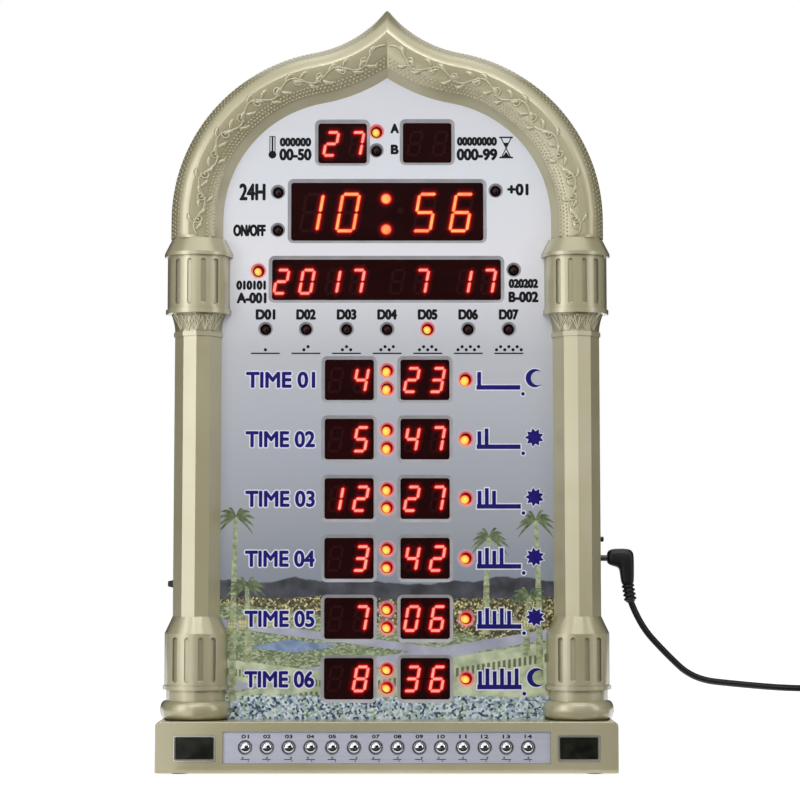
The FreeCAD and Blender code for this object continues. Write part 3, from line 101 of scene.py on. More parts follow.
class Finish:
    """A material built round one Principled shader, with short calls for its nodes."""

    def __init__(self, name, **settings):
        self.material = bpy.data.materials.new(name)
        self.material.use_nodes = True
        self.tree = self.material.node_tree
        self.shader = self.tree.nodes["Principled BSDF"]
        for socket, value in settings.items():
            self.shader.inputs[socket.replace("_", " ")].default_value = value
        self.place = self.add("ShaderNodeTexCoord").outputs["Object"]

    def add(self, kind, feeds=None, **settings):
        node = self.tree.nodes.new(kind)
        for key, value in settings.items():
            setattr(node, key, value)
        for socket, value in (feeds or {}).items():
            self.feed(node.inputs[socket], value)
        return node

    def feed(self, socket, value):
        if isinstance(value, bpy.types.NodeSocket):
            self.tree.links.new(value, socket)
        else:
            socket.default_value = value

    def set(self, socket, value):
        self.feed(self.shader.inputs[socket], value)

    def math(self, operation, *values, clamp=False):
        feeds = dict(enumerate(values))
        return self.add("ShaderNodeMath", feeds, operation=operation, use_clamp=clamp).outputs[0]

    def mix(self, share, first, second):
        node = self.add("ShaderNodeMix", data_type="RGBA")
        self.feed(node.inputs[0], share)
        self.feed(node.inputs[6], first)
        self.feed(node.inputs[7], second)
        return node.outputs[2]

    def ramp(self, value, stops):
        node = self.add("ShaderNodeValToRGB", {"Fac": value})
        elements = node.color_ramp.elements
        while len(elements) > 1:
            elements.remove(elements[-1])
        for index, (at, colour) in enumerate(stops):
            element = elements[0] if index == 0 else elements.new(at)
            element.position = at
            element.color = colour
        return node.outputs["Color"]

    def share(self, value, low, high):
        """Where a value lies between low and high, clamped to 0 and 1."""
        feeds = {"Value": value, "From Min": low, "From Max": high}
        return self.add("ShaderNodeMapRange", feeds, clamp=True).outputs[0]

    def noise(self, scale, detail=3.0, vector=None):
        feeds = {"Vector": vector or self.place, "Scale": scale, "Detail": detail}
        return self.add("ShaderNodeTexNoise", feeds).outputs[0]

    def bump(self, height, strength, distance=0.0002, normal=None):
        feeds = {"Height": height, "Strength": strength, "Distance": distance}
        if normal:
            feeds["Normal"] = normal
        bumped = self.add("ShaderNodeBump", feeds).outputs["Normal"]
        self.set("Normal", bumped)
        self.set("Coat Normal", bumped)

    def split(self):
        """The place's coordinates in millimetres."""
        parts = self.add("ShaderNodeSeparateXYZ", {"Vector": self.place}).outputs
        return [self.math("DIVIDE", part, MM) for part in parts]

    def rough(self, low, high, scale):
        self.set("Roughness", self.add("ShaderNodeMapRange", {
            "Value": self.noise(scale), "To Min": low, "To Max": high}).outputs[0])


def mottled(name, dark, light, rough, scale=60.0, grain=900.0, bump=0.12, **settings):
    """A finish that drifts between two shades, with uneven gloss and a fine grain."""
    finish = Finish(name, **settings)
    finish.set("Base Color", finish.ramp(finish.noise(scale), [(0.3, dark), (0.7, light)]))
    finish.rough(*rough, scale * 3)
    finish.bump(finish.noise(grain), bump, 0.00005)
    return finish.material


def glowing(name, dark, light, strength=1.0, scale=220.0):
    """A self-lit surface whose colour drifts a little."""
    finish = Finish(name, Roughness=0.4, Base_Color=(0.0, 0.0, 0.0, 1.0), Emission_Strength=strength,
                    Specular_IOR_Level=0.05)
    finish.set("Emission Color", finish.ramp(finish.noise(scale), [(0.3, dark), (0.7, light)]))
    return finish.material


def paint(material, *names):
    for name in names:
        node = nodes[name]
        if not node.material_slots:
            node.data.materials.append(material)
        for slot in node.material_slots:
            slot.material = material


# ---------------------------------------------------------------- piece helpers
def add_piece(name, mesh, material, body="clock", smooth=False):
    """A new piece that rides a body and takes the given finish."""
    made = bpy.data.objects.new(name, mesh)
    bpy.context.scene.collection.objects.link(made)
    mesh.materials.append(material)
    if smooth:
        mesh.polygons.foreach_set("use_smooth", [True] * len(mesh.polygons))
    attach(made, body)
    return made


def solid_mesh(name, points, faces):
    mesh = bpy.data.meshes.new(name)
    mesh.from_pydata([Vector(point) * MM for point in points], [], faces)
    shape = bmesh.new()
    shape.from_mesh(mesh)
    bmesh.ops.recalc_face_normals(shape, faces=shape.faces)
    shape.to_mesh(mesh)
    shape.free()
    return mesh


def plates(name, outlines, front, depth, material, body="clock"):
    """Thin upright plates with (x, z) outlines, each face a hair before y = front so that none share a plane."""
    points, faces = [], []
    for index, outline in enumerate(outlines):
        first, count = len(points), len(outline)
        face = front - HAIR * (index % 14)
        points += [(x, face, z) for x, z in outline] + [(x, face + depth, z) for x, z in outline]
        faces.append([first + i for i in range(count)])
        faces.append([first + count + i for i in reversed(range(count))])
        for i in range(count):
            after = (i + 1) % count
            faces.append([first + i, first + count + i, first + count + after, first + after])
    return add_piece(name, solid_mesh(name, points, faces), material, body)


def disc(x, z, radius, steps=28):
    turns = [2 * math.pi * step / steps for step in range(steps)]
    return [(x + radius * math.cos(turn), z + radius * math.sin(turn)) for turn in turns]


def text_mesh(text):
    """A text in Blender's own font as a flat mesh, one unit high."""
    curve = bpy.data.curves.new("text", "FONT")
    curve.body = text
    holder = bpy.data.objects.new("text", curve)
    bpy.context.scene.collection.objects.link(holder)
    bpy.context.view_layer.update()
    mesh = bpy.data.meshes.new_from_object(holder.evaluated_get(bpy.context.evaluated_depsgraph_get()))
    bpy.data.objects.remove(holder)
    bpy.data.curves.remove(curve)
    return mesh


def lettering(name, labels, front, material, bold=0.14, copies=6):
    """Flat print; labels are (text, middle x, middle z, width, height), and bold widens every stroke."""
    whole = bmesh.new()
    for text, x, z, width, height in labels:
        mesh = text_mesh(text)
        xs, ys = ([vertex.co[axis] for vertex in mesh.vertices] for axis in (0, 1))
        scale_x = width / (max(xs) - min(xs))
        scale_z = height / (max(ys) - min(ys))
        middle_x, middle_y = (max(xs) + min(xs)) / 2, (max(ys) + min(ys)) / 2
        flat = [((vertex.co.x - middle_x) * scale_x, (vertex.co.y - middle_y) * scale_z)
                for vertex in mesh.vertices]
        for copy in range(copies):
            turn = 2 * math.pi * copy / copies
            for vertex, (along, up) in zip(mesh.vertices, flat):
                vertex.co = Vector((x + along + bold * math.cos(turn), front - HAIR * copy,
                                    z + up + bold * math.sin(turn))) * MM
            whole.from_mesh(mesh)
    made = bpy.data.meshes.new(name)
    whole.to_mesh(made)
    whole.free()
    return add_piece(name, made, material)


def tube_lines(name, lines, radius, material, body="clock", swell=None):
    """Thin raised beads along lines of (x, y, z) points, of even thickness or with a swell for each point."""
    curve = bpy.data.curves.new(name, "CURVE")
    curve.dimensions = "3D"
    curve.bevel_depth = radius * MM
    curve.bevel_resolution = 2
    for line in lines:
        spline = curve.splines.new("NURBS")
        spline.points.add(len(line) - 1)
        for point, at, width in zip(spline.points, line, swell or [1.0] * len(line)):
            point.co = (*(Vector(at) * MM), 1.0)
            point.radius = width
        spline.order_u = 3
        spline.use_endpoint_u = True
    made = bpy.data.objects.new(name, curve)
    bpy.context.scene.collection.objects.link(made)
    curve.materials.append(material)
    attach(made, body)
    return made


def beads(name, places, material):
    """Small round beads at (x, y, z, radius) places, all in one mesh."""
    around, rings = 6, 3
    points, faces = [], []
    for x, y, z, radius in places:
        first = len(points)
        points.append((x, y - radius, z))
        for ring in range(1, rings):
            polar = math.pi * ring / rings
            for step in range(around):
                turn = 2 * math.pi * step / around
                points.append((x + radius * math.sin(polar) * math.cos(turn), y - radius * math.cos(polar),
                               z + radius * math.sin(polar) * math.sin(turn)))
        points.append((x, y + radius, z))
        last = len(points) - 1
        for step in range(around):
            after = (step + 1) % around
            faces.append([first, first + 1 + after, first + 1 + step])
            for ring in range(rings - 2):
                low = first + 1 + ring * around
                faces.append([low + step, low + after, low + around + after, low + around + step])
            end = last - around
            faces.append([last, end + step, end + after])
    return add_piece(name, solid_mesh(name, points, faces), material, smooth=True)


# ---------------------------------------------------------------- arch geometry
ARCH_X, ARCH_R, REVERSE_R = 111.1, 86.0, 84.6
SPRING_Z, ARC_Z = 307.4, 319.0
REVERSE_START = math.radians(10.2)
ARC_CENTRE = (-(ARCH_X - ARCH_R), ARC_Z)
REVERSE_CENTRE = (ARC_CENTRE[0] - (ARCH_R + REVERSE_R) * math.sin(REVERSE_START),
                  ARC_Z + (ARCH_R + REVERSE_R) * math.cos(REVERSE_START))
STILT = ARC_Z - SPRING_Z
BIG_L = ARCH_R * (math.pi / 2 - REVERSE_START)
SLOPE_EDGE = (-11.0, -8.0)      # section of the moulding: (outwards of its middle, y)
INNER_MID = (-3.93, -11.9)
CREST = (4.0, -13.4)
OUTER_MID = (11.95, -9.1)
OUTER_EDGE = (15.2, -1.5)


def arch_at(along, outwards):
    """(x, z) on the left half of the arch, along the moulding's middle line from its springing."""
    if along < STILT:
        return -ARCH_X - outwards, SPRING_Z + along
    if along < STILT + BIG_L:
        turn = (along - STILT) / ARCH_R
        radius = ARCH_R + outwards
        return ARC_CENTRE[0] - radius * math.cos(turn), ARC_Z + radius * math.sin(turn)
    turn = REVERSE_START + (along - STILT - BIG_L) / REVERSE_R
    radius = REVERSE_R - outwards
    return REVERSE_CENTRE[0] + radius * math.sin(turn), REVERSE_CENTRE[1] - radius * math.cos(turn)


def arc_height(outwards, first, middle, last):
    """y of the arc through three (outwards, y) points of the moulding's section."""
    (ax, ay), (bx, by), (cx, cy) = first, middle, last
    across = 2 * (ax * (by - cy) + bx * (cy - ay) + cx * (ay - by))
    squares = [x * x + y * y for x, y in (first, middle, last)]
    ux = (squares[0] * (by - cy) + squares[1] * (cy - ay) + squares[2] * (ay - by)) / across
    uy = (squares[0] * (cx - bx) + squares[1] * (ax - cx) + squares[2] * (bx - ax)) / across
    reach = (ax - ux) ** 2 + (ay - uy) ** 2 - (outwards - ux) ** 2
    return uy - math.sqrt(max(reach, 0.0))


def arch_surface(outwards):
    if outwards < CREST[0]:
        return arc_height(outwards, SLOPE_EDGE, INNER_MID, CREST)
    return arc_height(outwards, CREST, OUTER_MID, OUTER_EDGE)


def on_arch(along, outwards, lift=0.0):
    """The points of both halves at one place of the moulding, or none beyond the arch's middle."""
    x, z = arch_at(along, outwards)
    if x > -0.6:
        return []
    y = arch_surface(outwards) - lift
    return [(x, y, z), (-x, y, z)]


# ---------------------------------------------------------------- finishes
def gold_paint(name, carved):
    """Champagne metallic paint with painted shade, darker and greener in its creases and on the ground of the
    carved bands, the vine's band and the bells; its copy for the relief is painted lighter, a painted highlight.
    """
    finish = Finish(name, Metallic=0.25, Specular_IOR_Level=0.6, Coat_Weight=1.0, Coat_Roughness=0.2,
                    Coat_IOR=1.55)
    drift = finish.ramp(finish.noise(14.0), [(0.3, srgb(178, 170, 134)), (0.7, srgb(194, 187, 154))])
    # Painted shade: ambient occlusion darkens the paint towards a dark olive in its creases.
    crease_shade = finish.add("ShaderNodeAmbientOcclusion", {"Distance": 0.005}, samples=6).outputs["AO"]
    shaded = finish.mix(finish.share(crease_shade, 0.05, 0.7), srgb(90, 86, 46), drift)
    grain = finish.noise(1500.0)
    finish.rough(0.30, 0.38, 120.0)
    if not carved:
        # Painted highlight: the raised relief's copy is mixed a quarter of the way to a pale cream.
        finish.set("Base Color", finish.mix(0.24, shaded, srgb(206, 200, 174)))
        finish.bump(grain, 0.1, 0.0001)
        return finish.material
    x, _, z = finish.split()
    half_x = finish.math("ABSOLUTE", x)

    def distance(centre_x, centre_z, floor_z):
        dx = finish.math("SUBTRACT", half_x, -centre_x)
        dz = finish.math("SUBTRACT", finish.math("MAXIMUM", z, floor_z), centre_z)
        squares = finish.math("ADD", finish.math("MULTIPLY", dx, dx), finish.math("MULTIPLY", dz, dz))
        return finish.math("SQRT", squares)

    big = finish.math("SUBTRACT", distance(*ARC_CENTRE, ARC_Z), ARCH_R)
    reverse = finish.math("SUBTRACT", REVERSE_R, distance(*REVERSE_CENTRE, ARC_Z))
    junction = -ARC_CENTRE[0] + ARCH_R * math.sin(REVERSE_START)
    outside = finish.math("GREATER_THAN", half_x, junction)
    outwards = finish.math("ADD", finish.math("MULTIPLY", outside, big),
                           finish.math("MULTIPLY", finish.math("SUBTRACT", 1.0, outside), reverse))
    over_spring = finish.math("GREATER_THAN", z, SPRING_Z)

    def band(low, high):
        inside = finish.math("MULTIPLY", finish.share(outwards, low - 0.6, low + 0.6),
                             finish.share(outwards, high + 0.6, high - 0.6))
        return finish.math("MULTIPLY", inside, over_spring)

    ground = finish.math("MULTIPLY_ADD", band(10.2, 15.2), 1.35, band(-11.2, -5.0))
    vine = band(-5.0, 2.5)
    in_bell = finish.math("MULTIPLY", finish.math("GREATER_THAN", z, BELL_Z),
                          finish.math("LESS_THAN", z, BELL_Z + BELL_H))
    # Painted shade: the ground of the carved bands, the vine's band and the bells are darkened towards olive.
    dark = finish.math("ADD", finish.math("MULTIPLY", ground, 0.26),
                       finish.math("ADD", finish.math("MULTIPLY", vine, 0.04),
                                   finish.math("MULTIPLY", in_bell, 0.35)), clamp=True)
    finish.set("Base Color", finish.mix(dark, shaded, srgb(122, 113, 72)))
    height = finish.math("ADD", grain, finish.math("MULTIPLY", finish.noise(620.0), ground))
    finish.bump(height, 0.1, 0.0002, rounded_normal(finish))
    return finish.material


def rounded_normal(finish):
    """The normal, turned towards an oval's at the columns' drums and bells, whose moulded edges are soft."""
    x, y, z = finish.split()
    normal = finish.add("ShaderNodeSeparateXYZ", {
        "Vector": finish.add("ShaderNodeNewGeometry").outputs["Normal"]}).outputs
    middle = finish.math("MULTIPLY", finish.math("SIGN", x), COLUMN_X)
    along = finish.math("DIVIDE", finish.math("SUBTRACT", x, middle), DRUM_HALF ** 2)
    forward = finish.math("DIVIDE", finish.math("ADD", y, -PANEL_FRONT), DRUM_DEPTH ** 2)
    oval = finish.add("ShaderNodeVectorMath", {
        0: finish.add("ShaderNodeCombineXYZ", {"X": along, "Y": forward}).outputs[0]}, operation="NORMALIZE")
    flat = finish.add("ShaderNodeCombineXYZ", {"X": normal["X"], "Y": normal["Y"]}).outputs[0]
    level = finish.add("ShaderNodeVectorMath", {0: flat}, operation="LENGTH").outputs["Value"]
    turned = finish.add("ShaderNodeVectorMath", {0: oval.outputs[0], "Scale": level}, operation="SCALE")
    in_zones = finish.math("ADD", *[
        finish.math("MULTIPLY", finish.math("GREATER_THAN", z, low), finish.math("LESS_THAN", z, high))
        for low, high in SOFT_ZONES])
    softened = finish.add("ShaderNodeMix", {0: finish.math("MULTIPLY", in_zones, 0.97), 4: flat,
                                             5: turned.outputs[0]}, data_type="VECTOR").outputs[1]
    upright = finish.add("ShaderNodeCombineXYZ", {"Z": normal["Z"]}).outputs[0]
    whole = finish.add("ShaderNodeVectorMath", {0: softened, 1: upright}, operation="ADD")
    return finish.add("ShaderNodeVectorMath", {0: whole.outputs[0]}, operation="NORMALIZE").outputs[0]


def print_layers(finish):
    """The dial's print: a pale lilac sky over dusk hills, a small town, courts, a basin and speckled beds."""
    x, _, z = finish.split()

    def wave(scale, seed):
        spot = finish.add("ShaderNodeCombineXYZ", {"X": x, "Y": seed}).outputs[0]
        return finish.noise(scale, 4.0, spot)

    def plus(base, amount, value):
        return finish.math("MULTIPLY_ADD", value, amount, base)

    def below(top, height=z, soft=0.4):
        return finish.share(finish.math("SUBTRACT", height, top), soft, -soft)

    def between(value, low, high, soft=0.3):
        return finish.math("MULTIPLY", finish.share(value, low - soft, low + soft),
                           finish.share(value, high + soft, high - soft))

    def speckle(size_x, size_z, stops):
        """Small cells of random shades."""
        spot = finish.add("ShaderNodeCombineXYZ", {"X": finish.math("DIVIDE", x, size_x),
                                                    "Y": finish.math("DIVIDE", z, size_z)}).outputs[0]
        cells = finish.add("ShaderNodeTexVoronoi", {"Vector": spot, "Scale": 1.0}, voronoi_dimensions="2D")
        return finish.ramp(cells.outputs["Color"], stops)

    sky = finish.ramp(finish.share(z, 90.0, 420.0), [
        (0.0, srgb(126, 133, 144)), (0.08, srgb(138, 145, 156)), (0.167, srgb(159, 162, 169)),
        (0.25, srgb(169, 173, 183)), (0.358, srgb(183, 186, 193)), (0.46, srgb(193, 195, 201)),
        (0.62, srgb(235, 234, 239)), (0.78, srgb(225, 228, 234)), (0.88, srgb(221, 222, 229)),
        (1.0, srgb(212, 213, 221))])
    clouds = finish.mix(finish.math("MULTIPLY", finish.noise(9.0), 0.10), sky, srgb(228, 228, 234))
    slope = finish.ramp(finish.noise(90.0), [(0.35, srgb(58, 58, 62)), (0.65, srgb(86, 88, 96))])
    hills = finish.mix(below(plus(98.0, 22.0, wave(0.022, 3.0))), clouds, slope)
    lamps = speckle(1.0, 0.9, [(0.0, srgb(34, 36, 22)), (0.45, srgb(84, 80, 56)), (0.66, srgb(132, 126, 96)),
                               (0.8, srgb(206, 196, 140)), (0.9, srgb(240, 228, 160))])
    town = finish.mix(below(plus(95.0, 8.0, wave(0.06, 5.0))), hills, lamps)
    tilted = plus(z, 0.13, x)
    back = plus(z, -0.16, x)
    lawn = speckle(1.5, 0.8, [(0.0, srgb(84, 96, 60)), (0.5, srgb(134, 146, 112)), (0.8, srgb(178, 190, 154))])
    court = finish.mix(below(84.0, tilted), town, lawn)
    basin = finish.math("MULTIPLY", between(tilted, 60.5, 68.0), between(back, 76.0, 84.0, 0.6))
    water = finish.ramp(finish.noise(160.0), [(0.35, srgb(112, 134, 170)), (0.65, srgb(156, 174, 200))])
    wet = finish.mix(basin, court, water)
    path = finish.ramp(finish.noise(60.0), [(0.35, srgb(158, 158, 176)), (0.65, srgb(186, 188, 202))])
    paths = finish.math("MAXIMUM", between(tilted, 70.0, 74.5), between(back, 60.0, 66.0))
    walked = finish.mix(paths, wet, path)
    wall = finish.ramp(finish.noise(120.0), [(0.35, srgb(160, 174, 140)), (0.65, srgb(208, 214, 182))])
    openings = finish.math("MULTIPLY", finish.math("GREATER_THAN", finish.math("PINGPONG", x, 1.5), 0.7),
                           between(back, 47.5, 52.5))
    arcade = finish.mix(finish.math("MULTIPLY", openings, 0.8), wall, srgb(66, 74, 36))
    halls = finish.mix(below(59.0, back), walked, arcade)
    porch = finish.math("MULTIPLY", finish.math("GREATER_THAN", finish.math("PINGPONG", x, 1.1), 0.5),
                        between(tilted, 43.0, 47.0))
    wing = finish.mix(finish.math("MULTIPLY", porch, 0.8), wall, srgb(84, 92, 56))
    halls = finish.mix(finish.math("MULTIPLY", between(tilted, 40.0, 52.0),
                                   finish.math("LESS_THAN", x, -18.0)), halls, wing)
    beds = speckle(1.25, 1.25, [(0.0, srgb(24, 34, 56)), (0.26, srgb(72, 92, 112)), (0.42, srgb(158, 178, 198)),
                                (0.66, srgb(226, 232, 240)), (0.86, srgb(136, 168, 118))])
    return finish.mix(below(plus(38.0, 10.0, wave(0.03, 17.0))), halls, beds)


def lamp_distance(finish, shift=0.0):
    """How far a place is from the nearest lit lamp, whose middle is moved down and left by the shift."""
    x, _, z = finish.split()
    from_row = finish.math("SUBTRACT", z, ROW_LOW - ROW_PITCH / 2)
    row_z = finish.math("SUBTRACT", finish.math("FLOORED_MODULO", from_row, ROW_PITCH), ROW_PITCH / 2)
    over_rows = finish.math("GREATER_THAN", z, ROW_LOW + ROW_PITCH * (ROWS - 0.5))
    colon_z = finish.math("SUBTRACT", row_z, finish.math("MULTIPLY", finish.math("SIGN", row_z), COLON_GAP))
    beyond = finish.math("MULTIPLY", over_rows, FAR_AWAY)
    spots = [(finish.math("ADD", x, beyond), colon_z),
             (finish.math("ADD", finish.math("SUBTRACT", x, ROW_LAMP_X), beyond), row_z)]
    spots += [(finish.math("SUBTRACT", x, lamp_x), finish.math("SUBTRACT", z, lamp_z))
              for lamp_x, lamp_z in LIT_LAMPS]
    nearest = FAR_AWAY
    for dx, dz in spots:
        apart = finish.add("ShaderNodeCombineXYZ", {"X": finish.math("ADD", dx, shift),
                                                     "Y": finish.math("ADD", dz, shift)}).outputs[0]
        length = finish.add("ShaderNodeVectorMath", {0: apart}, operation="LENGTH").outputs["Value"]
        nearest = finish.math("MINIMUM", nearest, length)
    return nearest


def panel_print():
    finish = Finish("panel_print", Roughness=0.38, Coat_Weight=0.2, Coat_Roughness=0.2, Emission_Strength=0.3)
    finish.set("Specular IOR Level", 0.3)
    _, y, _ = finish.split()
    bevel = finish.math("GREATER_THAN", y, PANEL_FRONT + 0.04)
    edge = finish.ramp(finish.noise(90.0), [(0.3, srgb(178, 180, 184)), (0.7, srgb(198, 199, 203))])
    plain = finish.mix(bevel, print_layers(finish), edge)
    # Painted light: a pink-red pool round each lit lamp, in the print's colour and faintly self-lit.
    glow = finish.share(lamp_distance(finish), 5.6, 3.2)
    pink = finish.ramp(glow, [(0.0, srgb(240, 196, 204)), (0.5, srgb(238, 150, 162)), (1.0, srgb(220, 70, 80))])
    finish.set("Base Color", finish.mix(finish.math("MULTIPLY", glow, 0.85), plain, pink))
    finish.set("Emission Color", finish.mix(glow, (0.0, 0.0, 0.0, 1.0), srgb(220, 60, 70)))
    finish.bump(finish.noise(1200.0), 0.06, 0.00003)
    return finish.material


def lit_lens(name):
    """A lit LED: a yellow spot, low and to the left, inside a dark red rim."""
    finish = Finish(name, Roughness=0.25, Base_Color=(0.12, 0.0, 0.005, 1.0), Emission_Strength=1.0)
    finish.set("Specular IOR Level", 0.3)
    away = finish.math("MULTIPLY_ADD", finish.noise(700.0), 0.3, lamp_distance(finish, 0.7))
    finish.set("Emission Color", finish.ramp(finish.share(away, 0.0, 4.0), [
        (0.0, srgb(255, 238, 132)), (0.44, srgb(255, 218, 84)), (0.62, srgb(255, 150, 50)),
        (0.7, srgb(230, 44, 30)), (0.78, srgb(154, 6, 18)), (1.0, srgb(120, 4, 14))]))
    return finish.material


def brushed(name, dark, light, rough, metallic=0.75):
    """Brushed metal with its grain along X."""
    finish = Finish(name, Metallic=metallic)
    stretched = finish.add("ShaderNodeMapping", {"Vector": finish.place, "Scale": (20.0, 900.0, 900.0)})
    grain = finish.noise(1.0, 4.0, stretched.outputs["Vector"])
    finish.set("Base Color", finish.ramp(grain, [(0.3, dark), (0.7, light)]))
    finish.rough(*rough, 60.0)
    finish.bump(grain, 0.08, 0.00004)
    return finish.material


def circuit_board():
    finish = Finish("board_green", Roughness=0.4)
    tracks = finish.add("ShaderNodeTexBrick", {"Vector": finish.place, "Scale": 160.0,
                                                "Color1": srgb(18, 74, 44), "Color2": srgb(24, 92, 54),
                                                "Mortar": srgb(60, 120, 70)})
    finish.set("Base Color", tracks.outputs["Color"])
    finish.bump(tracks.outputs["Fac"], 0.1, 0.00005)
    return finish.material


gold = gold_paint("gold_paint", True)
# The relief's gold, painted lighter than the frame as a painted highlight.
gold_relief = gold_paint("gold_relief", False)
rear_black = mottled("rear_plastic", srgb(34, 34, 35), srgb(46, 46, 47), (0.45, 0.6), 30.0, 1400.0, 0.35)
print_finish = panel_print()
filter_red = mottled("filter_red", srgb(32, 10, 11), srgb(40, 12, 13), (0.12, 0.2), 40.0, 600.0, 0.02,
                     Specular_IOR_Level=0.12)
module_black = mottled("module_black", srgb(20, 18, 18), srgb(30, 27, 27), (0.5, 0.65))
lens_dark = mottled("lens_dark", srgb(30, 8, 10), srgb(46, 11, 13), (0.15, 0.25), 300.0,
                    Specular_IOR_Level=0.2)
lens_lit = lit_lens("lens_lit")
board_green = circuit_board()
black_plastic = mottled("black_plastic", srgb(22, 22, 23), srgb(34, 34, 35), (0.35, 0.5))
steel = brushed("steel", srgb(150, 152, 156), srgb(190, 192, 196), (0.25, 0.35))
cone_black = mottled("cone_black", srgb(24, 24, 25), srgb(36, 36, 38), (0.6, 0.8), 90.0, 500.0, 0.4)
rubber = mottled("rubber", srgb(20, 20, 20), srgb(30, 30, 30), (0.7, 0.85), 80.0, 700.0, 0.3)
strip_silver = brushed("strip_silver", srgb(204, 206, 221), srgb(212, 214, 229), (0.36, 0.44), 0.35)
chrome = mottled("chrome", srgb(205, 206, 210), srgb(224, 225, 229), (0.03, 0.06), 40.0, 300.0, 0.01,
                 Metallic=1.0)
white_plastic = mottled("white_plastic", srgb(206, 206, 200), srgb(226, 226, 220), (0.3, 0.42))
bezel_pale = mottled("bezel_pale", srgb(186, 184, 172), srgb(204, 202, 192), (0.16, 0.26), 80.0, 600.0, 0.03,
                     Metallic=0.5, Coat_Weight=1.0, Coat_Roughness=0.1)
ribbon_grey = mottled("ribbon_grey", srgb(150, 150, 150), srgb(176, 176, 176), (0.5, 0.6))
glass_dark = mottled("glass_dark", srgb(11, 10, 9), srgb(44, 44, 36), (0.06, 0.12), 130.0, 300.0, 0.02,
                     Specular_IOR_Level=0.12)
control_black = mottled("control_black", srgb(24, 24, 25), srgb(38, 38, 40), (0.4, 0.55))
lead_black = mottled("lead_black", srgb(17, 17, 18), srgb(27, 27, 29), (0.34, 0.46), 120.0, 900.0, 0.15)
nickel = brushed("nickel", srgb(178, 176, 170), srgb(206, 204, 198), (0.18, 0.28))
# The plug's barrel: nickel made much darker and a little rougher than the pins' nickel.
dark_rough_nickel = brushed("dark_rough_nickel", srgb(78, 76, 72), srgb(104, 102, 96), (0.3, 0.4))
ink_black = mottled("ink_black", srgb(20, 20, 22), srgb(30, 30, 34), (0.4, 0.5), 200.0, Specular_IOR_Level=0.1)
ink_navy = mottled("ink_navy", srgb(24, 16, 104), srgb(34, 24, 118), (0.4, 0.5), 200.0, Specular_IOR_Level=0.15)
ink_white = mottled("ink_white", srgb(214, 216, 232), srgb(230, 232, 244), (0.4, 0.5), 200.0)

FINISHES = {
    gold: ["arch_frame", "column_left", "column_right", "base_housing"],
    rear_black: ["rear_cover", "base_plate"],
    print_finish: ["dial_panel"],
    filter_red: ["display_filters"],
    module_black: ["schedule_displays", "temperature_display", "countdown_display", "time_display",
                   "date_display"],
    lens_lit: ["colon_lamps", "schedule_lamps"],
    lens_dark: ["weekday_lamps", "mode_lamps"],
    board_green: ["display_board", "key_board"],
    black_plastic: ["controller_chips", "coin_cell_holder", "ir_receiver", "tact_switches", "dc_jack",
                    "reset_switch", "slide_switch"],
    steel: ["case_screws", "short_screws", "coin_cell"],
    cone_black: ["speaker"],
    rubber: ["rubber_feet"],
    strip_silver: ["key_strip"],
    chrome: [f"key_{number:02d}" for number in range(1, KEYS + 1)],
    white_plastic: ["ribbon_connectors"],
    bezel_pale: ["window_bezels"],
    ribbon_grey: ["ribbon_cable"],
    glass_dark: ["sensor_window_left", "sensor_window_right"],
    control_black: ["reset_button", "slide_switch_knob"],
    lead_black: ["dc_plug", "power_cord", "power_cord_tail", "cord_coil", "adapter_body"],
    dark_rough_nickel: ["dc_plug_barrel"],
    nickel: ["adapter_pins"],
}
for finish_material, names in FINISHES.items():
    paint(finish_material, *names)

# ---------------------------------------------------------------- the lead
CORD_R = 1.9
COIL_X, COIL_Y, COIL_R = 275.0, 6.0, 22.5
COIL_COLUMNS, COIL_TURNS = 4, 7
ADAPTER_TOP = 38.0
POINTS_PER_TURN = 24
COIL_BACK = COIL_Y + COIL_R + CORD_R * (COIL_COLUMNS - 1)
LOW_TURN_Z = ADAPTER_TOP + CORD_R
TOP_TURN_Z = LOW_TURN_Z + 2 * CORD_R
CORD_START = (142.07, 12.0, 97.06)
CORD_ROUTE = [CORD_START, (147.2, 12.5, 83.5), (161.5, 13.8, 67.6), (178.5, 15.5, 51.5), (205.0, 18.5, 48.5),
              (234.0, 24.0, 45.8), (258.0, 32.0, 45.2), (COIL_X - 2, COIL_BACK, TOP_TURN_Z)]
TAIL_ROUTE = [(COIL_X + 2, COIL_BACK, LOW_TURN_Z), (289.0, 34.7, LOW_TURN_Z), (308.0, 34.7, 40.3),
              (328.0, 33.4, 39.6), (340.5, 26.5, 35.2), (345.0, 15.3, 27.5), (340.0, 4.0, 19.5),
              (328.5, -2.7, 15.2), (316.0, -3.0, 15.0)]
SEAM = (0.5, 0.67, 0.84, 1.0)   # shares of a turn where low turns step out, the drop is and top turns step in


def coil_turns():
    """The put-away turns: inwards along the top layer, down, and outwards along the low one."""
    pitch = 2 * CORD_R
    outer = COIL_R + CORD_R * (COIL_COLUMNS - 1)
    points = []
    for turn in range(COIL_TURNS):
        on_top = turn < COIL_COLUMNS
        start_r = outer - pitch * (turn if on_top else 2 * COIL_COLUMNS - 1 - turn)
        for step in range(POINTS_PER_TURN):
            share = step / POINTS_PER_TURN
            radius, height = start_r, TOP_TURN_Z if on_top else LOW_TURN_Z
            if turn < COIL_COLUMNS - 1:
                radius -= pitch * min(1, max(0, (share - SEAM[2]) / (SEAM[3] - SEAM[2])))
            elif turn == COIL_COLUMNS - 1:
                height -= pitch * min(1, max(0, (share - SEAM[1]) / (SEAM[2] - SEAM[1])))
            else:
                radius += pitch * min(1, max(0, (share - SEAM[0]) / (SEAM[1] - SEAM[0])))
            angle = 2 * math.pi * share
            points.append((COIL_X + radius * math.sin(angle), COIL_Y + radius * math.cos(angle), height))
    return points


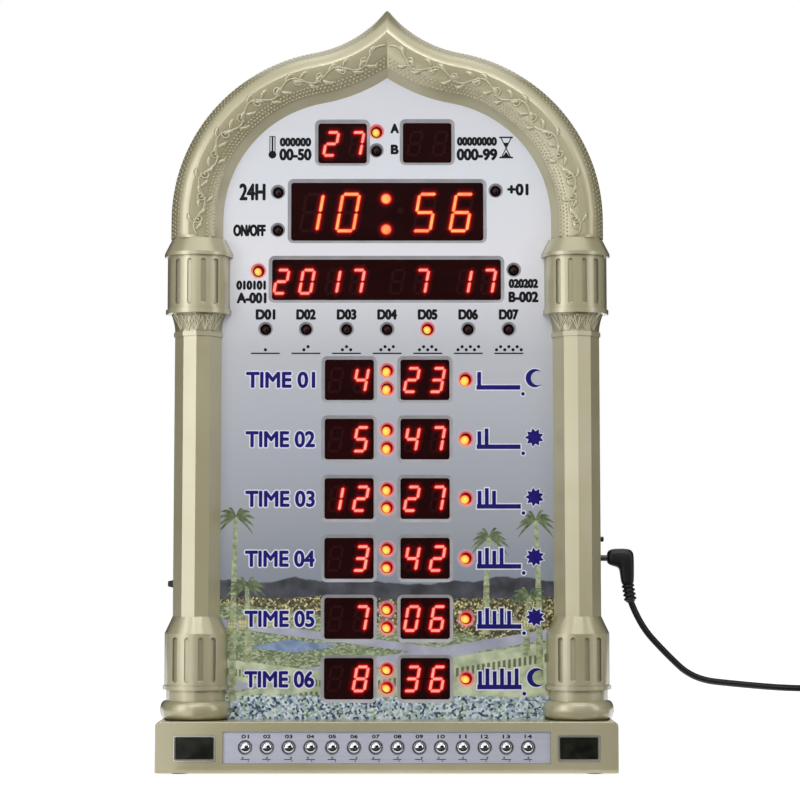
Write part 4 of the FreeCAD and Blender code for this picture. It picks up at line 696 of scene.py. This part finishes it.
def lead():
    """The whole lead as one spline, from the plug's boot by the coil to the adapter."""
    route = CORD_ROUTE + coil_turns()[1:] + TAIL_ROUTE
    curve = bpy.data.curves.new("lead_cord", "CURVE")
    curve.dimensions = "3D"
    curve.bevel_depth = CORD_R * MM
    curve.bevel_resolution = 4
    curve.use_fill_caps = True
    spline = curve.splines.new("NURBS")
    spline.points.add(len(route) - 1)
    for point, at in zip(spline.points, route):
        point.co = (*(Vector(at) * MM), 1.0)
    spline.order_u = 3
    spline.use_endpoint_u = True
    spline.resolution_u = 8
    curve.materials.append(lead_black)
    made = bpy.data.objects.new("lead_cord", curve)
    bpy.context.scene.collection.objects.link(made)
    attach(made, "power_lead")
    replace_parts(made, "power_cord", "cord_coil", "power_cord_tail")
    return made


def coil_tie():
    """A flat tie round the coil's section, at its front right."""
    angle = math.radians(125)
    half_w, half_h, thick, half_l = CORD_R * COIL_COLUMNS + 0.2, 2 * CORD_R + 0.1, 0.5, 2.6
    middle_z = ADAPTER_TOP + 2 * CORD_R
    points, faces = [], []
    for along in (-half_l, half_l):
        for grow in (0, thick):
            for side, up in ((-1, -1), (1, -1), (1, 1), (-1, 1)):
                reach = COIL_R + side * (half_w + grow)
                points.append((COIL_X + reach * math.sin(angle) + along * math.cos(angle),
                               COIL_Y + reach * math.cos(angle) - along * math.sin(angle),
                               middle_z + up * (half_h + grow * (1 if up > 0 else 0.4))))
    for i in range(4):
        after = (i + 1) % 4
        faces += [[i, after, 4 + after, 4 + i], [8 + i, 12 + i, 12 + after, 8 + after],
                  [4 + i, 4 + after, 12 + after, 12 + i], [i, 8 + i, 8 + after, after]]
    return add_piece("coil_tie", solid_mesh("coil_tie", points, faces), control_black,
                     "power_lead")


PLUG_X, PLUG_Y, PLUG_Z = 128.6, 12.0, 122.0     # the plug's face, middle and axis
# Sections of the plug's head and stem: (x, z) on its outer and on its under side, and half its depth
PLUG_SECTIONS = (
    ((0.0, 2.2), (0.0, -2.2), 2.3), ((0.1, 3.4), (0.1, -3.0), 3.4), ((1.5, 5.2), (1.6, -4.2), 4.3),
    ((5.5, 5.6), (4.2, -4.9), 4.5), ((10.0, 5.6), (6.1, -5.5), 4.5), ((13.4, 5.2), (6.8, -6.4), 4.5),
    ((15.2, 3.6), (7.0, -7.2), 4.5), ((15.6, 0.6), (7.2, -8.2), 4.4), ((15.6, -5.0), (7.5, -10.2), 4.1),
    ((15.6, -9.0), (7.7, -12.0), 3.9), ((15.5, -12.6), (8.0, -13.7), 3.7), ((15.3, -15.1), (8.4, -15.1), 3.5))
BOOT_RIBS, BOOT_CORE_R = 4, 2.7
RIB_OUTLINE = ((0.0, 0.0), (0.08, 0.6), (0.22, 1.1), (0.56, 1.1), (0.7, 0.6), (0.78, 0.0))    # pitch, height
BOOT_LIP = 1.09                                 # the boot's end, round the cord, in shares of its length


def plug_shell():
    """The angled plug's moulded head and stem, with the ribbed boot under them, in one skin."""
    around = 24
    sections = [(Vector(outer), Vector(under), half_y, 3.0) for outer, under, half_y in PLUG_SECTIONS]
    boot_top = (sections[-1][0] + sections[-1][1]) / 2
    boot_end = Vector((CORD_START[0] - PLUG_X, CORD_START[2] - PLUG_Z))
    across = (boot_end - boot_top).normalized().orthogonal()
    if across.x < 0:
        across.negate()
    for rib in range(BOOT_RIBS):
        for share, height in RIB_OUTLINE:
            middle = boot_top.lerp(boot_end, (rib + 0.1 + share) / BOOT_RIBS)
            radius = BOOT_CORE_R + height
            sections.append((middle + across * radius, middle - across * radius, radius, 2.0))
    lip = boot_top.lerp(boot_end, BOOT_LIP)
    sections.append((lip + across * BOOT_CORE_R, lip - across * BOOT_CORE_R, BOOT_CORE_R, 2.0))
    points, faces = [], []
    for outer, under, half_y, squareness in sections:
        middle, half = (outer + under) / 2, (outer - under) / 2
        for step in range(around):
            turn = 2 * math.pi * step / around
            wide, deep = (math.copysign(abs(value) ** (2 / squareness), value)
                          for value in (math.cos(turn), math.sin(turn)))
            spot = middle + half * wide
            points.append((PLUG_X + spot.x, PLUG_Y + half_y * deep, PLUG_Z + spot.y))
    for index in range(len(sections) - 1):
        low = index * around
        for step in range(around):
            after = (step + 1) % around
            faces.append([low + step, low + after, low + around + after, low + around + step])
    faces.append(list(range(around)))
    faces.append([len(points) - 1 - step for step in range(around)])
    made = add_piece("plug_shell", solid_mesh("plug_shell", points, faces), lead_black,
                     "power_lead", smooth=True)
    made.modifiers.new("soft", "SUBSURF").render_levels = 2
    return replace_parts(made, "dc_plug")


lead_cord = lead()
tie = coil_tie()
plug_shell()

# ---------------------------------------------------------------- LED digits
LIT = {"0": "abcdef", "1": "bc", "2": "abged", "3": "abgcd", "4": "fgbc", "5": "afgcd", "6": "afgedc",
       "7": "abc", "8": "abcdefg", " ": ""}
SLANT = math.tan(math.radians(10))
BIG_DIGIT = (9.8, 21.7, 2.0)        # width and height between segment middles, and segment width
SMALL_DIGIT = (6.5, 13.7, 1.8)
ROW_VALUES = (" 836", " 706", " 342", "1227", " 547", " 423")      # from the lowest row up
DISPLAYS = [(ROW_LOW + ROW_PITCH * row - 0.1, SMALL_DIGIT, zip((-29.9, -15.2, 14.4, 29.2), value))
            for row, value in enumerate(ROW_VALUES)]
DISPLAYS += [(324.2, BIG_DIGIT, zip((-44.3, -23.0, 22.1, 43.6), "1056")),
             (283.3, SMALL_DIGIT, zip((-61.9, -47.0, -31.8, -17.7, 5.9, 19.9, 45.1, 59.2), "2017 717")),
             (365.0, SMALL_DIGIT, zip((-33.0, -18.1), "27")),
             (365.3, SMALL_DIGIT, zip((16.4, 31.0), "  "))]
COLON_DOTS = ((-0.7, 332.3), (-0.7, 314.2))
DIM_DOT = (7.8, 325.5)


def segment(x, z, size, letter, grow):
    """One pointed bar of a digit whose middle is at (x, z)."""
    width, height, thick = size
    ends = {"a": ((0, 1), (1, 1)), "b": ((1, 1), (1, 0.5)), "c": ((1, 0.5), (1, 0)), "d": ((0, 0), (1, 0)),
            "e": ((0, 0), (0, 0.5)), "f": ((0, 0.5), (0, 1)), "g": ((0, 0.5), (1, 0.5))}[letter]
    start, end = (Vector(((u - 0.5) * width, (v - 0.5) * height)) for u, v in ends)
    way = (end - start).normalized()
    side = Vector((-way.y, way.x))
    half = thick / 2 + grow
    tip = 0.12 * thick - grow
    corners = [start + way * tip, start + way * (tip + half * 0.8) - side * half,
               end - way * (tip + half * 0.8) - side * half, end - way * tip,
               end - way * (tip + half * 0.8) + side * half, start + way * (tip + half * 0.8) + side * half]
    return [(x + corner.x + corner.y * SLANT, z + corner.y) for corner in corners]


def digits():
    """Unlit bars, and for each lit bar a faint halo, a glow, a rim, a body and a core, each a little in front."""
    layers = {"unlit": [], "halo": [], "glow": [], "rim": [], "body": [], "core": [], "hot": []}
    for z, size, cells in DISPLAYS:
        thick = size[2]
        core = "hot" if size is BIG_DIGIT else "core"
        for x, digit in cells:
            for letter in "abcdefg":
                if letter not in LIT[digit]:
                    layers["unlit"].append(segment(x, z, size, letter, -0.1))
                    continue
                layers["halo"].append(segment(x, z, size, letter, 2.5))
                layers["glow"].append(segment(x, z, size, letter, 1.3))
                layers["rim"].append(segment(x, z, size, letter, 0.5))
                layers["body"].append(segment(x, z, size, letter, 0.0))
                layers[core].append(segment(x, z, size, letter, -0.14 * thick))
    for x, z in COLON_DOTS:
        for layer, radius in (("halo", 5.4), ("glow", 4.4), ("rim", 3.6), ("body", 3.0), ("hot", 2.4)):
            layers[layer].append(disc(x, z, radius))
    layers["unlit"].append(disc(*DIM_DOT, 1.9))
    finishes = {
        # Painted light: the unlit bars and the dim dot glow in their faint red, though they are off.
        "unlit": glowing("segment_unlit", srgb(38, 12, 13), srgb(45, 13, 14)),
        "halo": glowing("segment_halo", srgb(52, 4, 6), srgb(64, 5, 7)),
        "glow": glowing("segment_glow", srgb(90, 3, 6), srgb(106, 4, 8)),
        "rim": glowing("segment_rim", srgb(176, 12, 12), srgb(202, 18, 18)),
        "body": glowing("segment_body", srgb(255, 84, 72), srgb(255, 106, 90)),
        "core": glowing("segment_core", srgb(255, 152, 136), srgb(255, 180, 160)),
        "hot": glowing("segment_hot", srgb(255, 150, 90), srgb(255, 214, 110), 1.0, 120.0),
    }
    for step, (layer, outlines) in enumerate(layers.items(), 1):
        plates(f"digits_{layer}", outlines, FILTER_FRONT - 0.03 * step, 0.02, finishes[layer])


digits()

# ---------------------------------------------------------------- lamps

def lamp_caps():
    """Lit domes over the three lamps that are on in rows where the others are off."""
    steps_up, around, skin = 5, 24, 0.03
    radius = LAMP_R + skin
    points, faces = [], []
    for x, z in LIT_LAMPS:
        first = len(points)
        points.append((x, LAMP_TIP - skin, z))
        for ring in range(1, steps_up + 1):
            polar = math.pi / 2 * ring / steps_up
            for step in range(around):
                turn = 2 * math.pi * step / around
                points.append((x + radius * math.sin(polar) * math.cos(turn),
                               LAMP_TIP + LAMP_R - radius * math.cos(polar),
                               z + radius * math.sin(polar) * math.sin(turn)))
        for step in range(around):
            after = (step + 1) % around
            faces.append([first, first + 1 + after, first + 1 + step])
            for ring in range(steps_up - 1):
                low = first + 1 + ring * around
                faces.append([low + step, low + after, low + around + after, low + around + step])
    add_piece("lamp_caps", solid_mesh("lamp_caps", points, faces), lens_lit, smooth=True)


lamp_caps()

# ---------------------------------------------------------------- print on the dial
PRINT_Y = PANEL_FRONT - 0.03


def star(x, z, inner, outer, points):
    turns = [math.pi * step / points for step in range(2 * points)]
    return [(x + (outer if step % 2 else inner) * math.cos(turn),
             z + (outer if step % 2 else inner) * math.sin(turn)) for step, turn in enumerate(turns)]


def crescent(x, z, radius):
    outer = [(x + radius * math.cos(t), z + radius * math.sin(t))
             for t in (math.radians(a) for a in range(40, 321, 14))]
    inner = [(x + 0.35 * radius + 0.78 * radius * math.cos(t), z + 0.78 * radius * math.sin(t))
             for t in (math.radians(a) for a in range(304, 55, -14))]
    return outer + inner


def bar(x0, z0, x1, z1, thick):
    way = Vector((x1 - x0, z1 - z0)).normalized() * thick / 2
    return [(x0 + way.y, z0 - way.x), (x1 + way.y, z1 - way.x), (x1 - way.y, z1 + way.x),
            (x0 - way.y, z0 + way.x)]


def row_signs(grow):
    """Generic signs right of the rows: sun or moon, and posts on a thick line that count the rows."""
    outlines = []
    for row in range(ROWS):
        z = ROW_LOW + ROW_PITCH * row - 0.2
        count = ROWS - row
        if row in (1, 2, 3, 4):
            outlines.append(star(85.5, z + 1.0, 3.6 + grow, 5.6 + grow, 9))
        else:
            outlines.append(crescent(86.0, z + 1.0, 5.4 + grow))
        outlines.append(bar(52.0 - grow, z - 4.4, 77.5 + grow, z - 4.4, 2.6 + 2 * grow))
        for post in range(count):
            x = 53.6 + 4.2 * post
            outlines.append(bar(x, z - 4.4, x, z + 4.6 + 1.6 * (post % 2) + grow, 2.2 + 2 * grow))
        outlines.append(disc(79.0, z - 8.2, 1.1 + grow, 12))
    return outlines


def dial_labels():
    rows = [(f"TIME 0{ROWS - row}", -62.0, ROW_LOW + ROW_PITCH * row - 0.2, 39.5, 8.8) for row in range(ROWS)]
    lettering("row_label_rims", rows, PRINT_Y, ink_white, 1.15, 12)
    lettering("row_labels", rows, PRINT_Y - 0.03, ink_navy, 0.42, 8)
    plates("row_sign_rims", row_signs(0.7), PRINT_Y, 0.01, ink_white)
    plates("row_signs", row_signs(0.0), PRINT_Y - 0.03, 0.01, ink_navy)
    small = [("00-50", -53.9, 358.2, 18.0, 6.2), ("000000", -53.9, 365.6, 17.6, 4.4),
             ("000-99", 52.7, 358.2, 23.0, 6.2), ("00000000", 52.7, 366.0, 22.6, 4.4),
             ("A", 4.4, 373.7, 4.2, 5.0), ("B", 4.4, 361.2, 3.8, 5.0),
             ("24H", -79.0, 336.0, 14.5, 9.2), ("ON/OFF", -80.6, 313.2, 18.2, 6.2), ("+01", 76.6, 337.4, 11.6, 6.2),
             ("A-001", -79.2, 273.4, 16.6, 5.6), ("B-002", 79.6, 274.0, 16.6, 5.6),
             ("010101", -79.5, 280.9, 16.4, 4.6), ("020202", 79.6, 281.9, 16.4, 4.6)]
    for day in range(WEEKDAYS):
        x = (day - (WEEKDAYS - 1) / 2) * WEEKDAY_PITCH
        small.append((f"D0{day + 1}", x, 263.7, 10.6, 5.4))
    lettering("dial_labels", small, PRINT_Y, ink_black, 0.48)
    marks = []
    for day in range(WEEKDAYS):
        x = (day - (WEEKDAYS - 1) / 2) * WEEKDAY_PITCH
        for pip in range(day + 1):
            marks.append(disc(x + 2.4 * (pip - day / 2), 243.9 + (0.9 if pip % 2 else -0.9), 0.95, 12))
        marks.append(bar(x - 8.4, 240.9, x + 8.4, 240.9, 0.8))
    x, z = -67.4, 362.7         # thermometer
    marks += [disc(x, z - 4.6, 2.3), bar(x, z - 4, x, z + 6, 1.0)]
    marks += [bar(x - 1.5, z - 3, x - 1.5, z + 6.2, 0.5), bar(x + 1.5, z - 3, x + 1.5, z + 6.2, 0.5),
              bar(x - 1.6, z + 6.2, x + 1.6, z + 6.2, 0.5)]
    x, z = 69.8, 362.4          # sand glass
    marks += [bar(x - 4, z + 6, x + 4, z + 6, 0.9), bar(x - 4, z - 6, x + 4, z - 6, 0.9),
              bar(x - 3, z + 5.7, x + 2.6, z - 5.7, 0.6), bar(x + 3, z + 5.7, x - 2.6, z - 5.7, 0.6),
              [(x - 2.2, z - 5.6), (x + 2.2, z - 5.6), (x, z - 2.6)],
              [(x - 1.4, z + 2.8), (x, z + 0.4), (x + 1.4, z + 2.8)]]
    plates("dial_marks", marks, PRINT_Y, 0.02, ink_black)


def palm(x, foot, height, lean):
    """Outlines of a date palm: trunk rings and a crown of drooping leaves."""
    trunk, crown = [], []
    steps = 14
    for step in range(steps):
        share = step / steps
        z = foot + height * share
        half = 2.3 - 1.0 * share
        mid = x + lean * share ** 2
        trunk.append([(mid - half, z), (mid + half, z), (mid + half * 0.8, z + height / steps * 0.94),
                      (mid - half * 0.8, z + height / steps * 0.94)])
    top_x, top_z = x + lean, foot + height
    for leaf in range(11):
        turn = math.radians(-25 + 23 * leaf)
        reach = 11.0 + random.uniform(-1.2, 1.2)
        upper, lower = [], []
        for step in range(6):
            share = step / 5
            mid_x = top_x + reach * share * math.cos(turn)
            mid_z = top_z + reach * share * math.sin(turn) - 5.5 * share ** 2
            half = 1.15 * math.sin(math.pi * (0.12 + 0.84 * share))
            upper.append((mid_x, mid_z + half))
            lower.append((mid_x, mid_z - half))
        crown.append(upper + lower[::-1])
    return trunk, crown


def palms():
    trunks, crowns = [], []
    for x, foot, height, lean in ((-89.0, 40.0, 106.0, 1.5), (-80.0, 62.0, 44.0, -1.0), (88.0, 52.0, 92.0, -2.0),
                                  (57.0, 78.0, 56.0, 2.0), (80.5, 66.0, 34.0, 1.5)):
        trunk, crown = palm(x, foot, height, lean)
        trunks += trunk
        crowns += crown
    bark = mottled("palm_bark", srgb(120, 128, 92), srgb(186, 196, 152), (0.4, 0.5), 400.0)
    leaf = mottled("palm_leaf", srgb(70, 84, 56), srgb(124, 140, 98), (0.4, 0.5), 400.0)
    plates("palm_trunks", trunks, PRINT_Y + 0.015, 0.01, bark)
    plates("palm_crowns", crowns, PRINT_Y + 0.01, 0.01, leaf)


def houses():
    """Small flat-roofed and domed houses with lit windows, in front of the hills."""
    walls, roofs, windows = [], [], []
    x = -92.0
    while x < 88.0:
        width = random.uniform(4.0, 8.5)
        if x + width > -38.0 and x < 52.0:
            x = 52.0
        foot = 86.0 - 0.06 * abs(x)
        height = random.uniform(4.0, 8.0)
        walls.append([(x, foot), (x + width, foot), (x + width, foot + height), (x, foot + height)])
        if random.random() < 0.45:
            roofs.append(disc(x + width / 2, foot + height, width * 0.33, 16))
        else:
            roofs.append(bar(x - 0.4, foot + height, x + width + 0.4, foot + height, 0.7))
        for column in range(int(width // 1.6)):
            for floor in range(int(height // 2.2)):
                spot_x, spot_z = x + 0.9 + 1.6 * column, foot + 1.3 + 2.2 * floor
                windows.append(bar(spot_x, spot_z, spot_x, spot_z + 1.1, 0.6))
        x += width + random.uniform(0.5, 7.0)
    wall = mottled("house_wall", srgb(136, 134, 102), srgb(196, 192, 154), (0.4, 0.5), 160.0)
    roof = mottled("house_roof", srgb(92, 92, 70), srgb(160, 160, 128), (0.4, 0.5), 160.0)
    plates("house_walls", walls, PRINT_Y + 0.022, 0.005, wall)
    plates("house_roofs", roofs, PRINT_Y + 0.024, 0.003, roof)
    plates("house_windows", windows, PRINT_Y - 0.002, 0.005, glowing("window_glow", srgb(226, 206, 130),
           srgb(246, 232, 170), 0.9))


dial_labels()
houses()
palms()


# ---------------------------------------------------------------- print on the key strip
def strip_labels():
    front = STRIP_FACE - 0.02
    xs = [(key - (KEYS - 1) / 2) * KEY_PITCH for key in range(KEYS)]
    lettering("key_numbers", [(f"{key:02d}", x, KEY_Z + 6.2, 4.0, 1.9) for key, x in enumerate(xs, 1)],
              front, ink_black, 0.13)
    marks = []
    for key, x in enumerate(xs):
        z = KEY_Z - 6.6
        marks.append(bar(x - 2.6, z, x + 2.6 - 0.5 * (key % 3), z, 0.45))
        marks.append(star(x - 1.4 + 1.4 * (key % 3), z + 0.9, 0.35, 0.8, 3 + key % 3))
        marks.append(disc(x + 1.8 - 1.1 * (key % 2), z - 0.9, 0.38, 10))
    plates("key_marks", marks, front, 0.01, ink_black)


def key_rings():
    """A thin turned ring round each key, in its hole in the strip."""
    around = 32
    outline = ((3.7, 0.45), (3.8, 0.2), (4.05, 0.15), (4.18, 0.45))       # radius, and depth behind the face
    points, faces = [], []
    for key in range(KEYS):
        x = (key - (KEYS - 1) / 2) * KEY_PITCH
        first = len(points)
        for step in range(around):
            turn = 2 * math.pi * step / around
            points += [(x + radius * math.cos(turn), STRIP_FACE + depth, KEY_Z + radius * math.sin(turn))
                       for radius, depth in outline]
        for step in range(around):
            low, after = first + 4 * step, first + 4 * ((step + 1) % around)
            faces += [[low + i, low + (i + 1) % 4, after + (i + 1) % 4, after + i] for i in range(4)]
    add_piece("key_rings", solid_mesh("key_rings", points, faces), steel)


strip_labels()
key_rings()


# ---------------------------------------------------------------- relief on the arch and the bells
VINE_MID, VINE_REACH, VINE_WAVE = -1.9, 3.0, 27.0
LEAF_PITCH = 4.3
LEAF_CURVE = ((0.0, 0.0), (1.2, 1.5), (3.0, 2.9), (5.2, 3.4), (6.6, 2.8))      # along and away from the vine
LEAF_SWELL = (0.2, 0.9, 1.2, 0.8, 0.1)
ARCH_L = STILT + BIG_L + REVERSE_R * math.radians(30.6)


def arch_relief():
    """A vine with curls along the arch, over a field of beads, and small beads along the outer edge."""
    lines = []
    for side in (-1, 1):
        vine = []
        steps = 190
        for step in range(steps + 1):
            along = 1.5 + (ARCH_L - 4.0) * step / steps
            outwards = VINE_MID + VINE_REACH * math.sin(2 * math.pi * along / VINE_WAVE)
            found = on_arch(along, outwards, 0.05)
            if found:
                vine.append(found[0 if side < 0 else 1])
        lines.append(vine)
    buds = []
    curls = int((ARCH_L - 8) / (VINE_WAVE / 2))
    for curl in range(curls):
        along = VINE_WAVE * (0.25 + curl / 2)
        up = 1 if curl % 2 == 0 else -1
        halves = ([], [])
        for step in range(19):
            share = step / 18
            turn = math.radians(90 + 400 * share)
            reach = 2.9 * (1 - 0.8 * share)
            centre = VINE_MID + up * (VINE_REACH - 2.9)
            found = on_arch(along + 4.2 + reach * math.cos(turn), centre + up * reach * math.sin(turn), 0.05)
            if found:
                halves[0].append(found[0])
                halves[1].append(found[1])
        if len(halves[0]) > 8:
            lines += halves
            buds += [(x, y, z, 1.0) for x, y, z in (halves[0][-1], halves[1][-1])]
    tube_lines("arch_vine", lines, 0.7, gold_relief)
    leaves = []
    for index in range(int((ARCH_L - 10) / LEAF_PITCH)):
        along = 4.0 + LEAF_PITCH * index
        root = VINE_MID + VINE_REACH * math.sin(2 * math.pi * along / VINE_WAVE)
        lean = 1 if index % 2 else -1
        halves = ([], [])
        for forward, outwards in LEAF_CURVE:
            found = on_arch(along + forward, root + lean * outwards, -0.35)
            if found:
                halves[0].append(found[0])
                halves[1].append(found[1])
        if len(halves[0]) == len(LEAF_CURVE):
            leaves += halves
    tube_lines("arch_leaves", leaves, 1.25, gold_relief, swell=LEAF_SWELL)
    spots = buds
    count = int(ARCH_L / 2.3)
    for row, outwards in enumerate((-6.6, -8.3, -10.0)):
        for index in range(count):
            along = 1.5 + 2.3 * (index + 0.5 * (row % 2))
            spots += [(x, y, z, 0.8) for x, y, z in on_arch(along, outwards, -0.2)]
    for row, outwards in enumerate((10.2, 12.0, 13.6)):
        for index in range(int(ARCH_L / 2.3)):
            along = 1.2 + 2.3 * (index + 0.5 * (row % 2))
            spots += [(x, y, z, 0.7) for x, y, z in on_arch(along, outwards, -0.42)]
    beads("arch_beads", spots, gold_relief)


SHAFT_EDGE = ((0.0, -13.5), (7.7, -10.5), (13.6, -1.5))
BELL_EDGE = ((0.0, -14.8), (12.7, -10.2), (15.9, -1.5))


def bell_surface(x, rise):
    """y of the bell's front at x, at a share of its height."""
    share = rise ** 2
    edge = [(sx + (bx - sx) * share, sy + (by - sy) * share) for (sx, sy), (bx, by) in zip(SHAFT_EDGE, BELL_EDGE)]
    for (x0, y0), (x1, y1) in zip(edge, edge[1:]):
        if abs(x) <= x1:
            return y0 + (y1 - y0) * (abs(x) - x0) / (x1 - x0)
    return edge[-1][1]


def bell_leaves():
    """Crossing leaf ribs round the two bells."""
    lines, spots = [], []
    for column in (-COLUMN_X, COLUMN_X):
        for stem in (-9.6, -4.8, 0.0, 4.8, 9.6):
            for lean in (-5.2, -2.2, 2.2, 5.2):
                line = []
                for step in range(6):
                    rise = 0.06 + 0.86 * step / 5
                    x = stem + lean * rise ** 1.4
                    if abs(x) < 13.2 + 1.6 * rise:
                        line.append((column + x, bell_surface(x, rise) - 0.1, BELL_Z + BELL_H * rise))
                if len(line) > 3:
                    lines.append(line)
        for x in range(-12, 13, 3):
            spots.append((column + x, bell_surface(x, 0.9) - 0.1, BELL_Z + BELL_H * 0.9, 0.6))
    tube_lines("bell_leaves", lines, 0.45, gold_relief)
    beads("bell_beads", spots, gold_relief)


arch_relief()
bell_leaves()


# ---------------------------------------------------------------- studio
def area_light(name, at, aim, size, power, colour=(1.0, 1.0, 1.0)):
    data = bpy.data.lights.new(name, "AREA")
    data.shape = "RECTANGLE"
    data.size, data.size_y = size
    data.energy = power
    data.color = colour
    lamp = bpy.data.objects.new(name, data)
    lamp.location = at
    lamp.rotation_euler = (Vector(aim) - Vector(at)).to_track_quat("-Z", "Y").to_euler()
    bpy.context.scene.collection.objects.link(lamp)


def stage_plane(name, corners, material):
    mesh = bpy.data.meshes.new(name)
    mesh.from_pydata(corners, [], [(0, 1, 2, 3)])
    plane = bpy.data.objects.new(name, mesh)
    bpy.context.scene.collection.objects.link(plane)
    mesh.materials.append(material)
    return plane


def background_rays(tree):
    """1 for the rays by which the background is seen: straight, in gloss and through glass."""
    rays = tree.nodes.new("ShaderNodeLightPath").outputs
    total = rays["Is Camera Ray"]
    for kind in ("Is Glossy Ray", "Is Transmission Ray"):
        both = tree.nodes.new("ShaderNodeMath")
        both.operation = "MAXIMUM"
        tree.links.new(total, both.inputs[0])
        tree.links.new(rays[kind], both.inputs[1])
        total = both.outputs[0]
    return total


def studio():
    reach = 30.0
    pale = Finish("floor_pale", Roughness=0.9, Emission_Color=(1.0, 1.0, 1.0, 1.0))
    pale.set("Base Color", pale.ramp(pale.noise(3.0), [(0.3, (0.86, 0.86, 0.86, 1)), (0.7, (0.9, 0.9, 0.9, 1))]))
    pale.set("Specular IOR Level", 0.0)
    pale.set("Emission Strength", pale.math("MULTIPLY", background_rays(pale.tree), 0.8))
    stage_plane("floor", [(-reach, -reach, 0), (reach, -reach, 0), (reach, reach, 0), (-reach, reach, 0)],
                pale.material)
    low = 0.002
    cards = {"front": [(-0.2, -0.9, low), (1.3, -0.9, low), (1.3, -0.9, 0.8), (-0.2, -0.9, 0.8)],
             "floor": [(-0.12, -0.9, low), (1.2, -0.9, low), (0.4, -0.026, low), (-0.12, -0.026, low)],
             "left": [(-0.9, -0.3, low), (-0.9, 6.0, low), (-0.9, 6.0, 2.0), (-0.9, -0.3, 2.0)],
             "right": [(0.9, -0.45, low), (0.9, 6.0, low), (0.9, 6.0, 2.0), (0.9, -0.45, 2.0)]}
    for side, corners in cards.items():     # dark, and seen in gloss alone
        card = stage_plane(f"{side}_card", corners, cone_black)
        card.visible_camera = card.visible_diffuse = card.visible_shadow = False

    world = bpy.data.worlds.new("studio")
    world.use_nodes = True
    tree = world.node_tree
    plain = tree.nodes["Background"]
    plain.inputs["Color"].default_value = (0.95, 0.97, 1.0, 1.0)
    plain.inputs["Strength"].default_value = 0.27
    white = tree.nodes.new("ShaderNodeBackground")
    white.inputs["Color"].default_value = (1.0, 1.0, 1.0, 1.0)
    white.inputs["Strength"].default_value = 1.0
    mix = tree.nodes.new("ShaderNodeMixShader")
    tree.links.new(background_rays(tree), mix.inputs[0])
    tree.links.new(plain.outputs[0], mix.inputs[1])
    tree.links.new(white.outputs[0], mix.inputs[2])
    tree.links.new(mix.outputs[0], tree.nodes["World Output"].inputs["Surface"])
    bpy.context.scene.world = world

    area_light("key", (-0.88, -0.85, 0.42), (-0.1, 0.0, 0.2), (0.42, 1.0), 3.4)
    area_light("front", (0.1, -1.75, 1.3), (0.0, 0.0, 0.2), (1.2, 0.7), 13.8)
    area_light("right", (1.1, -0.7, 0.5), (0.1, 0.0, 0.2), (0.5, 0.9), 2.1)
    area_light("top", (0.0, -0.2, 1.4), (0.0, 0.0, 0.2), (0.8, 0.5), 1.2)


studio()
bpy.context.scene.view_settings.view_transform = "Standard"
